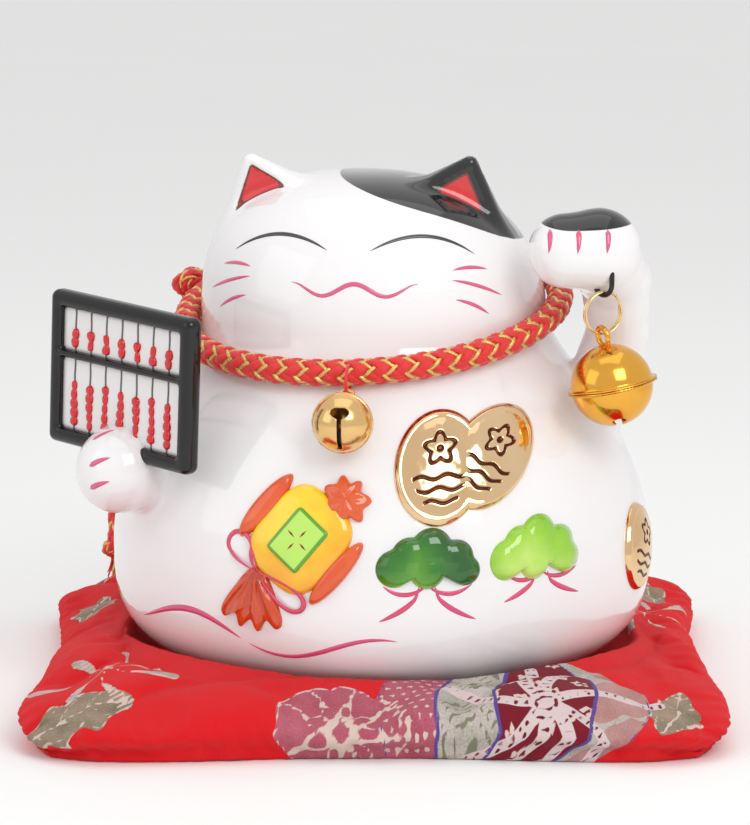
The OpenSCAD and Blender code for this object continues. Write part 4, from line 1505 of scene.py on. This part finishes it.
def wire_ring(turns, r, drift, wire, start):
    """A flat coil of wire whose turns lie side by side, its ends cut square."""
    count = int(72 * turns) + 1
    a = start + np.linspace(0, 2 * math.pi * turns, count)
    path = np.column_stack([r * np.cos(a), drift * (a - a.mean()) / (2 * math.pi), r * np.sin(a)])
    radial = np.column_stack([np.cos(a), 0 * a, np.sin(a)])
    return tube(path, wire, 14, squash=0.72, normals=radial)


def make_ring_and_hook():
    gold = brass("ring_gold", (0.93, 0.70, 0.36), 0.10)
    points, faces = wire_ring(1.9, RING_R, 0.86, 0.45, 0.9)
    obj = new_object("split_ring_wire", RING_CENTRE + turn_z(points, RING_TURN), faces)
    finished(obj, "split_ring", "brass", gold, "split_ring")
    a = np.linspace(-math.pi, 0, 28)
    leg = np.linspace(8, 0.3, 8)
    path = [(-HOOK_R, 0, z) for z in leg] + [(HOOK_R * math.cos(t), 0, HOOK_R * math.sin(t)) for t in a]
    path += [(HOOK_R, 0, z) for z in leg[::-1]]
    points, faces = tube(path, 0.72, 14, normals=np.tile([0.0, 1, 0], (len(path), 1)))
    wire = Nodes("black_wire")
    wire.set(base_color=wire.mix(wire.noise(500, 3), (0.015, 0.015, 0.017), (0.07, 0.065, 0.06)))
    wire.set(metallic=0.8, roughness=0.35)
    obj = new_object("hook_wire", HOOK_CENTRE + turn_z(points, HOOK_TURN), faces)
    finished(obj, "figurine", "black_wire", wire.material, "paw_hook")
    carry("bell_thread", CORD_FINISH)


make_bells()
make_ring_and_hook()


# ---- cushion ----------------------------------------------------------------------------------------

CUSHION_HALF = (98.0, 97.0)
CLOTH_CLEAR = 0.5
TABLE_CLEAR = 0.02
CUSHION_YAW = math.radians(7)
SEAM_HEIGHT = 4.0
SWELL = 33.0
SWELL_POWER = 0.6
CORNER_POWER = 7
CORNER_PULL = 0.08
SEAT_CLEAR = 0.9
FLAT_SHARE = 0.9
SIDE_CLOTH = 9.0
CELLS = 100
GROWTH = 0.075
MAX_MOVE = 6.0
SIM_FRAMES = 26


def seam_reach(turn):
    """How far the seam lies from the middle: a rounded box with its corners drawn out."""
    c = np.abs(np.cos(turn)) / CUSHION_HALF[0]
    s = np.abs(np.sin(turn)) / CUSHION_HALF[1]
    box = (c**CORNER_POWER + s**CORNER_POWER) ** (-1 / CORNER_POWER)
    return box * (1 + CORNER_PULL * np.abs(np.sin(2 * turn)) ** 3)


def underside(x, y):
    """Height of the body's underside over a point of the table."""
    low = PROFILE_Z < BELLY_MIDDLE
    r = np.hypot(x - SHIFTS[0], y / DEPTH_SHARES[0])
    return np.interp(r, PROFILE_W[low], PROFILE_Z[low])


def cushion_form():
    """Both panels as one closed mesh, with each point's place on the flat cut cloth."""
    n = CELLS + 1
    a, b = np.meshgrid(np.linspace(-1, 1, n), np.linspace(-1, 1, n), indexing="ij")
    share = np.maximum(np.abs(a), np.abs(b))
    turn = np.arctan2(b, a)
    square = 1 / np.maximum(np.abs(np.cos(turn)), np.abs(np.sin(turn)))
    factor = CUSHION_HALF[0] + (seam_reach(turn) / square - CUSHION_HALF[0]) * share**2
    x, y = a * factor, b * factor
    top = SEAM_HEIGHT + SWELL * np.clip((1 - a**2) * (1 - b**2), 0, 1) ** SWELL_POWER
    c, s = math.cos(CUSHION_YAW), math.sin(CUSHION_YAW)
    tx, ty = x * c - y * s, x * s + y * c
    top = np.minimum(top, underside(tx, ty) - SEAT_CLEAR)
    edge = np.clip((share - FLAT_SHARE) / (1 - FLAT_SHARE), 0, 1)
    bottom = SEAM_HEIGHT * (1 - np.sqrt(np.clip(1 - edge**2.2, 0, 1)))
    reach = 1 + SIDE_CLOTH / CUSHION_HALF[0] * share**4
    flat_u, flat_v = x * reach, y * reach
    inner = (share < 1 - 1e-9).ravel()
    index_low = np.where(inner, n * n + np.cumsum(inner) - 1, np.arange(n * n)).reshape(n, n)
    index_top = np.arange(n * n).reshape(n, n)
    points = np.column_stack([tx.ravel(), ty.ravel(), top.ravel()])
    under = np.column_stack([tx.ravel(), ty.ravel(), bottom.ravel()])[inner]
    faces = []
    for grid, flip in ((index_top, False), (index_low, True)):
        q = np.stack([grid[:-1, :-1], grid[1:, :-1], grid[1:, 1:], grid[:-1, 1:]], axis=-1).reshape(-1, 4)
        faces.append(q[:, ::-1] if flip else q)
    onward = ((2 - share) / np.maximum(share, 0.5)).ravel()[inner]
    facts = {
        "flat_u": np.concatenate([flat_u.ravel(), flat_u.ravel()[inner] * onward]),
        "flat_v": np.concatenate([flat_v.ravel(), flat_v.ravel()[inner] * onward]),
        "share": np.concatenate([share.ravel(), share.ravel()[inner]]),
        "panel": np.concatenate([np.zeros(n * n), np.ones(int(inner.sum()))]),
    }
    return np.vstack([points, under]), np.vstack(faces), facts


def collider(name, field, low, high, step):
    """A helper that the cloth rests against."""
    points, faces = surface_net(field, low, high, step)
    obj = new_object(name, points, faces)
    obj.modifiers.new("collision", "COLLISION")
    obj.collision.thickness_outer = 0.0006
    obj.collision.cloth_friction = 30
    return obj


def table_distance(p):
    """Distance to a slab whose top lies just under the table's height."""
    return box_distance(p + [0, 0, 6.05], (150, 150, 6), 2)


def simulated(obj, facts):
    """Let the cloth swell, crease against the cat and the table, and keep the result."""
    cat = collider("sim_cat", belly_distance, (-84, -80, 5), (86, 80, 50), 3.0)
    table = collider("sim_table", table_distance, (-152, -152, -14), (152, 152, 2), 6.0)
    pins = obj.vertex_groups.new(name="pins")
    held = (facts["share"] < 0.4) | ((facts["panel"] == 1) & (facts["share"] < 0.94))
    pins.add([int(i) for i in np.flatnonzero(held)], 1.0, "REPLACE")
    cloth = obj.modifiers.new("cloth", "CLOTH")
    cloth.settings.quality = 7
    cloth.settings.mass = 0.12
    cloth.settings.tension_stiffness = 12
    cloth.settings.compression_stiffness = 12
    cloth.settings.shear_stiffness = 4
    cloth.settings.bending_stiffness = 0.12
    cloth.settings.air_damping = 2
    cloth.settings.shrink_min = -GROWTH
    cloth.settings.use_pressure = True
    cloth.settings.uniform_pressure_force = 1.6
    cloth.settings.vertex_group_mass = "pins"
    cloth.settings.effector_weights.gravity = 0
    cloth.collision_settings.distance_min = 0.0008
    cloth.collision_settings.use_self_collision = False
    scene = bpy.context.scene
    for number in range(1, SIM_FRAMES + 1):
        scene.frame_set(number)
    shape = obj.evaluated_get(bpy.context.evaluated_depsgraph_get()).data
    moved = np.empty(3 * len(shape.vertices))
    shape.vertices.foreach_get("co", moved)
    obj.modifiers.remove(cloth)
    obj.vertex_groups.remove(pins)
    for helper in (cat, table):
        bpy.data.objects.remove(helper, do_unlink=True)
    scene.frame_set(1)
    return moved.reshape(-1, 3) / MM


def settled(points):
    """Clear of the body and of the table."""
    for _ in range(3):
        near = belly_distance(points)
        inside = near < CLOTH_CLEAR
        if inside.any():
            push = unit(gradient(belly_distance, points[inside]))
            points[inside] += (CLOTH_CLEAR - near[inside])[:, None] * push
    points[:, 2] = np.maximum(points[:, 2], TABLE_CLEAR)
    return points


PUCKER_RISE = 0.35
PUCKER_REACH = 5.0
PUCKER_PITCH = 6.2


def finer(obj):
    """Subdivide once for good and pucker the cloth along its seam."""
    obj.modifiers.new("finer", "SUBSURF").levels = 1
    shape = bpy.data.meshes.new_from_object(obj.evaluated_get(bpy.context.evaluated_depsgraph_get()))
    obj.modifiers.clear()
    obj.data = shape
    facts = {}
    for label in ("flat_u", "flat_v", "share"):
        values = np.empty(len(shape.vertices), dtype=np.float32)
        shape.attributes[label].data.foreach_get("value", values)
        facts[label] = values.astype(float)
    points, normals = np.empty((2, 3 * len(shape.vertices)))
    shape.vertices.foreach_get("co", points)
    shape.vertices.foreach_get("normal", normals)
    points, normals = points.reshape(-1, 3) / MM, normals.reshape(-1, 3)
    along = np.where(np.abs(facts["flat_u"]) > np.abs(facts["flat_v"]), facts["flat_v"], facts["flat_u"])
    phase = 2 * math.pi * along / PUCKER_PITCH + 1.3 * np.sin(0.11 * along)
    fade = np.exp(-(1 - facts["share"]) * CUSHION_HALF[0] / PUCKER_REACH)
    points += normals * (PUCKER_RISE * np.sin(phase) * fade)[:, None]
    shape.vertices.foreach_set("co", (settled(points) * MM).ravel())
    return facts


def make_cushion():
    points, faces, facts = cushion_form()
    obj = new_object("cushion_cloth", points, faces)
    step = simulated(obj, facts) - points
    size = np.linalg.norm(step, axis=1, keepdims=True)
    points = points + step * np.minimum(1, MAX_MOVE / np.maximum(size, 1e-9))
    points = settled(points)
    obj.data.vertices.foreach_set("co", (points * MM).ravel())
    for label, values in facts.items():
        set_attribute(obj, label, values)
    fine = finer(obj)
    for label, values in cotton_print(fine["flat_u"], fine["flat_v"]).items():
        set_attribute(obj, label, values)
    finished(obj, "cushion", "printed_cotton", printed_cotton(), "cushion_cover_top", "cushion_cover_bottom",
             "cushion_filling")


# ---- printed cotton ------------------------------------------------------------------------------------

# A line works its distance out only this close to itself, and reads FAR elsewhere.
NEAR = 9
FAR = 1e9


class Place:
    """Distances to flat shapes, in millimetres on the cut cloth."""

    def __init__(self, u, v):
        self.u, self.v = u, v

    def moved(self, centre, degrees=0.0, stretch=(1.0, 1.0)):
        """The same cloth seen from a motif's own centre, lean and stretch."""
        c, s = math.cos(math.radians(degrees)), math.sin(math.radians(degrees))
        x, y = self.u - centre[0], self.v - centre[1]
        return Place((x * c + y * s) / stretch[0], (y * c - x * s) / stretch[1])

    def disc(self, centre, r):
        return np.hypot(self.u - centre[0], self.v - centre[1]) - r

    def line(self, points, start, end=None):
        """A curved stroke whose half width runs from start to end."""
        end = start if end is None else end
        p = spline(points, 24)
        best = np.full(self.u.shape, FAR)
        n = len(p) - 1
        near = (self.u > p[:, 0].min() - NEAR) & (self.u < p[:, 0].max() + NEAR)
        near &= (self.v > p[:, 1].min() - NEAR) & (self.v < p[:, 1].max() + NEAR)
        u, v = self.u[near], self.v[near]
        inside = np.full(u.shape, FAR)
        for k in range(n):
            (ax, ay), (bx, by) = p[k], p[k + 1]
            ex, ey = bx - ax, by - ay
            t = np.clip(((u - ax) * ex + (v - ay) * ey) / max(ex * ex + ey * ey, 1e-9), 0, 1)
            half = start + (end - start) * (k + t) / n
            inside = np.minimum(inside, np.hypot(u - ax - t * ex, v - ay - t * ey) - half)
        best[near] = inside
        return best


def least(*values):
    """The smallest of several distances at every point."""
    return np.minimum.reduce(values)


def rim(d, half):
    """A line of even width just inside a shape's edge."""
    return np.abs(d + half) - half


LINE = 0.42


def chrysanthemum(place, centre, r, lean=0.0, petals=9):
    """A round flower: scalloped petals, and looped lines round its eye."""
    at = place.moved(centre, lean)
    a, reach = np.arctan2(at.v, at.u), np.hypot(at.u, at.v)
    bloom = reach - r * (0.90 + 0.10 * np.abs(np.cos(petals * a / 2)) ** 0.6)
    swirl = np.abs(np.sin(petals * a / 2 + 0.25 * np.sin(reach / r * 3))) * reach * 2 / petals
    ribs = np.maximum(swirl - 0.38, 0.55 * r - reach)
    across = (np.mod(a * petals / (2 * math.pi) + 0.5, 1) - 0.5) * 2 * math.pi / petals * reach
    loop = np.hypot((reach - 0.38 * r) / (0.20 * r), across / (0.085 * r))
    loops = np.abs(loop - 1) * 0.085 * r - 0.36
    spokes = np.maximum(np.abs(across) - 0.3, np.abs(reach - 0.72 * r) - 0.14 * r)
    eye = np.abs(reach - 0.12 * r) - LINE
    return bloom, least(rim(bloom, LINE), np.maximum(ribs, bloom), loops, np.maximum(spokes, bloom), eye)


def spider_flower(place, centre, lean=0.0, size=1.0, petals=7):
    """Drop-shaped petals on thin curved stems, long and short in turn."""
    at = place.moved(centre, lean, (size, size))
    fills, lines = [], []
    for k in range(petals):
        a = 2 * math.pi * k / petals
        reach = 30 if k % 2 else 22
        t = np.linspace(0, 1, 7)
        turn = a + 0.5 * t
        path = np.column_stack([reach * t * np.cos(turn), reach * t * np.sin(turn)])
        petal = at.line(path[3:], 0.7, 2.6)
        fills.append(petal)
        lines += [rim(petal - 0.3, 0.36), at.line(path, 0.4)]
    return least(*fills) * size, least(*lines) * size


def leaf(place, centre, length, width, lean, lobes=3):
    """A lobed leaf with its midrib and side veins."""
    at = place.moved(centre, lean)
    along = np.clip(at.u / length, -1, 1)
    half = width * (1 - along**2) ** 0.7 * (0.85 + 0.15 * np.cos(math.pi * lobes * (along + 1)))
    blade = np.maximum(np.abs(at.v) - half, np.abs(at.u) - length)
    slant = at.u - np.abs(at.v)
    side = np.maximum(np.abs(np.mod(slant, length / 2) - length / 4) - 0.35, blade + 1)
    midrib = np.maximum(np.abs(at.v) - 0.45, blade + 1)
    return blade, least(midrib, side, rim(blade, 0.4))


def gored_ball(place, centre, r, edges):
    """A thread ball: one distance for each gore, and one for the lines between them."""
    at = place.moved(centre)
    ball = np.hypot(at.u, at.v) - r
    across = np.sqrt(np.maximum(r * r - at.v**2, 1))
    gores = [np.maximum(np.maximum(low * across - at.u, at.u - high * across), ball)
             for low, high in zip(edges[:-1], edges[1:])]
    seams = least(*[np.maximum(np.abs(at.u - e * across) - 0.6, ball) for e in edges])
    return ball, gores, seams


def scattered(middle, spread, count):
    """Even scatter of places, each turned from the last by the golden angle."""
    k = np.arange(count)
    a, reach = k * math.radians(137.5), np.sqrt((k + 0.5) / count)
    return middle + spread * np.column_stack([reach * np.cos(a), reach * np.sin(a)])


def ribbons(centre, leans, length=34):
    """Tails of a bow: waved paths that fan out from its knot."""
    t = np.linspace(0, 1, 9)
    path = np.column_stack([length * t, 2.5 * np.sin(math.pi * 1.5 * t)])
    return [centre + turned(path, lean) for lean in leans]


def blossom(place, centre, r, lean=0.0):
    """A small ring of five petals."""
    at = place.moved(centre, lean, (1, 1.35))
    a, reach = np.arctan2(at.v, at.u), np.hypot(at.u, at.v)
    return np.maximum(reach - r * (0.75 + 0.25 * np.cos(5 * a)), 0.28 * r - reach)


HOLE_PITCH = 2.5
HOLE_R = 0.62
HOLE_ROW = 0.82


def wave_lines(place):
    """Short wriggling lines that fill the green and white part."""
    u, v = place.u, place.v
    bend = 1.6 * np.sin(0.55 * u + 0.23 * v) + 1.2 * np.sin(0.31 * v)
    return np.abs(np.mod(v + 0.8 * u + bend * 1.6, 3.1) - 1.55) - 0.5


def lace_holes(place, paths):
    """Two rows of small round holes along each ribbon."""
    hole = np.full(place.u.shape, FAR)
    for path in paths:
        steps = 1 + int(np.linalg.norm(np.diff(path, axis=0), axis=1).sum() / HOLE_PITCH)
        p = spline(path, steps)
        side = unit(np.gradient(p, axis=0))[:, ::-1] * [1, -1]
        for way in (-HOLE_ROW, HOLE_ROW):
            for middle in p[1:] + way * side[1:]:
                hole = np.minimum(hole, place.disc(middle, HOLE_R))
    return hole


# Where each motif lies on the cut cloth, and its sizes and lean in the order of its function.
CHRYSANTHEMUMS = [((-10, -105), 20, 0), ((-10, 95), 20, 10), ((75, 85), 16, 40), ((-100, 90), 15, 0)]
SPIDERS = [((-80, -70), 0, 0.9), ((-50, 75), 150, 0.8), ((90, 20), 60, 0.8), ((40, 100), 200, 0.8)]
LEAVES = [((-90, -98), 20, 13, 15), ((90, -90), 20, 11, 75), ((-95, 30), 16, 9, 80), ((95, 60), 16, 9, 100)]
BALL_CENTRE = np.array([40, -95])
BALL_R = 40
GORES = (-1, -0.55, -0.1, 0.6, 1)
BOW_CENTRE = np.array([50.0, -100.0])
BOW_LEANS = (20, 75, 105, 160, 215, 250, 290, 325)


def cotton_print(u, v):
    """Signed distance to each colour of the print at every point of the cloth."""
    at = Place(u, v)
    mums = [chrysanthemum(at, *facts) for facts in CHRYSANTHEMUMS]
    spiders = [spider_flower(at, *facts) for facts in SPIDERS]
    leaves = [leaf(at, *facts) for facts in LEAVES]
    ball, (dotted, waved, crimson, plain), seams = gored_ball(at, BALL_CENTRE, BALL_R, GORES)
    tails = ribbons(BOW_CENTRE, BOW_LEANS)
    lace = np.maximum(least(*[at.line(path, 1.8) for path in tails]), ball - 6)
    dots = np.hypot(np.mod(u + 0.4 * v, 3.2) - 1.6, np.mod(v, 3.6) - 1.8) - 0.85
    middles = enumerate(scattered(BALL_CENTRE + [10, 0], (16, 36), 22))
    flowers = least(*[blossom(at, middle, 2.4, 31 * k) for k, middle in middles])
    clouds = least(*[at.disc(middle, 6) for middle in scattered(BALL_CENTRE + [32, 0], (8, 30), 9)])
    outlines = [shape[1] for shape in mums + spiders + leaves]
    return {
        "print_white": least(waved, plain, *[flower[0] for flower in spiders]),
        "print_pink": least(dotted, *[flower[0] for flower in mums]),
        "print_crimson": crimson,
        "print_green": least(*[blade[0] for blade in leaves]),
        "print_cloud": np.maximum(clouds, plain),
        "print_sage": np.maximum(wave_lines(at), waved),
        "print_cream": least(np.maximum(dots, dotted), np.maximum(flowers, crimson), *outlines),
        "print_lace": lace,
        "print_hole": np.maximum(lace_holes(at, tails), lace + 0.3),
        "print_blue": seams,
    }


# Each printed colour in the order of printing, with a second tone where it is shaded.
INKS = [
    ("print_white", (0.74, 0.66, 0.64), (0.36, 0.37, 0.29)),
    ("print_pink", (0.58, 0.16, 0.22), (0.44, 0.07, 0.12)),
    ("print_crimson", (0.20, 0.002, 0.018), None),
    ("print_green", (0.16, 0.18, 0.10), (0.50, 0.36, 0.27)),
    ("print_cloud", (0.62, 0.36, 0.34), (0.46, 0.22, 0.20)),
    ("print_sage", (0.22, 0.25, 0.17), None),
    ("print_cream", (0.80, 0.64, 0.56), None),
    ("print_lace", (0.80, 0.66, 0.66), None),
    ("print_hole", (0.16, 0.002, 0.016), None),
    ("print_blue", (0.09, 0.07, 0.34), None),
]
THREAD_PITCH = 0.42


def printed_cotton():
    """Plain-woven cotton with a many-coloured print, fine speckle and a soft sheen."""
    n = Nodes("printed_cotton")
    u, v = n.attribute("flat_u"), n.attribute("flat_v")
    cloth = n.combine(u, v)
    speckle = n.noise(1.6, 3, cloth, roughness=0.7)
    color = n.mix(n.noise(0.05, 2, cloth), (0.78, 0.003, 0.008), (0.86, 0.006, 0.012))
    for name, ink, second in INKS:
        if second:
            shade = n.noise(0.11, 2, cloth) * 1.6 - 0.3 + (speckle - 0.5) * 2.2
            ink = n.mix(shade.max(0).min(1), ink, second)
        color = n.mix(n.attribute(name).below(0, 0.1), color, ink)
    turns = 2 * math.pi / THREAD_PITCH
    weave = (u * turns).sin() * (v * turns).sin()
    slub = n.noise(1.0, 2, n.combine(u * 0.3, v * 5)) + n.noise(1.0, 2, n.combine(u * 5, v * 0.3))
    color = n.mix(weave * 0.10 + 0.10, color, (0.25, 0.01, 0.015))
    n.set(base_color=color, roughness=0.82, specular_ior_level=0.3, sheen_weight=0.06, sheen_roughness=0.5)
    n.bump(weave * 0.5 + slub * 0.6, 0.6, 0.00025)
    return n.material


make_cushion()


# ---- floor and light -------------------------------------------------------------------------

FLOOR_HALF = 6000
LAMP_AIM = 70
WORLD_STRENGTH = 0.80


def make_stage():
    """One wide pale floor, open to the light and to every view."""
    n = Nodes("floor")
    n.set(base_color=n.mix(n.noise(4, 2), (0.925, 0.925, 0.92), (0.945, 0.945, 0.94)), roughness=0.8)
    corners = [(x * FLOOR_HALF, y * FLOOR_HALF, 0) for x, y in ((-1, -1), (1, -1), (1, 1), (-1, 1))]
    floor = new_object("floor", corners, [(0, 1, 2, 3)])
    floor.data.materials.append(n.material)


def make_lamp(name, place, size, power):
    """A square soft lamp, aimed at the middle of the cat."""
    data = bpy.data.lights.new(name, "AREA")
    data.size = size * MM
    data.energy = power
    lamp = bpy.data.objects.new(name, data)
    place = np.array(place, float)
    away = place - [0, 0, LAMP_AIM]
    turn = math.atan2(away[0], -away[1])
    rise = math.atan2(away[2], math.hypot(away[0], away[1]))
    lamp.location = place * MM
    lamp.rotation_euler = (math.pi / 2 - rise, 0, turn)
    bpy.context.collection.objects.link(lamp)


def make_light():
    world = bpy.data.worlds.new("studio")
    world.use_nodes = True
    background = world.node_tree.nodes["Background"]
    background.inputs["Color"].default_value = (1, 1, 1, 1)
    background.inputs["Strength"].default_value = WORLD_STRENGTH
    bpy.context.scene.world = world
    bpy.context.scene.view_settings.view_transform = "Standard"
    make_lamp("key", (420, -620, 620), 420, 2.4)
    make_lamp("fill", (-620, -420, 420), 500, 0.5)
    make_lamp("top", (0, 60, 900), 700, 0.8)


make_stage()
make_light()
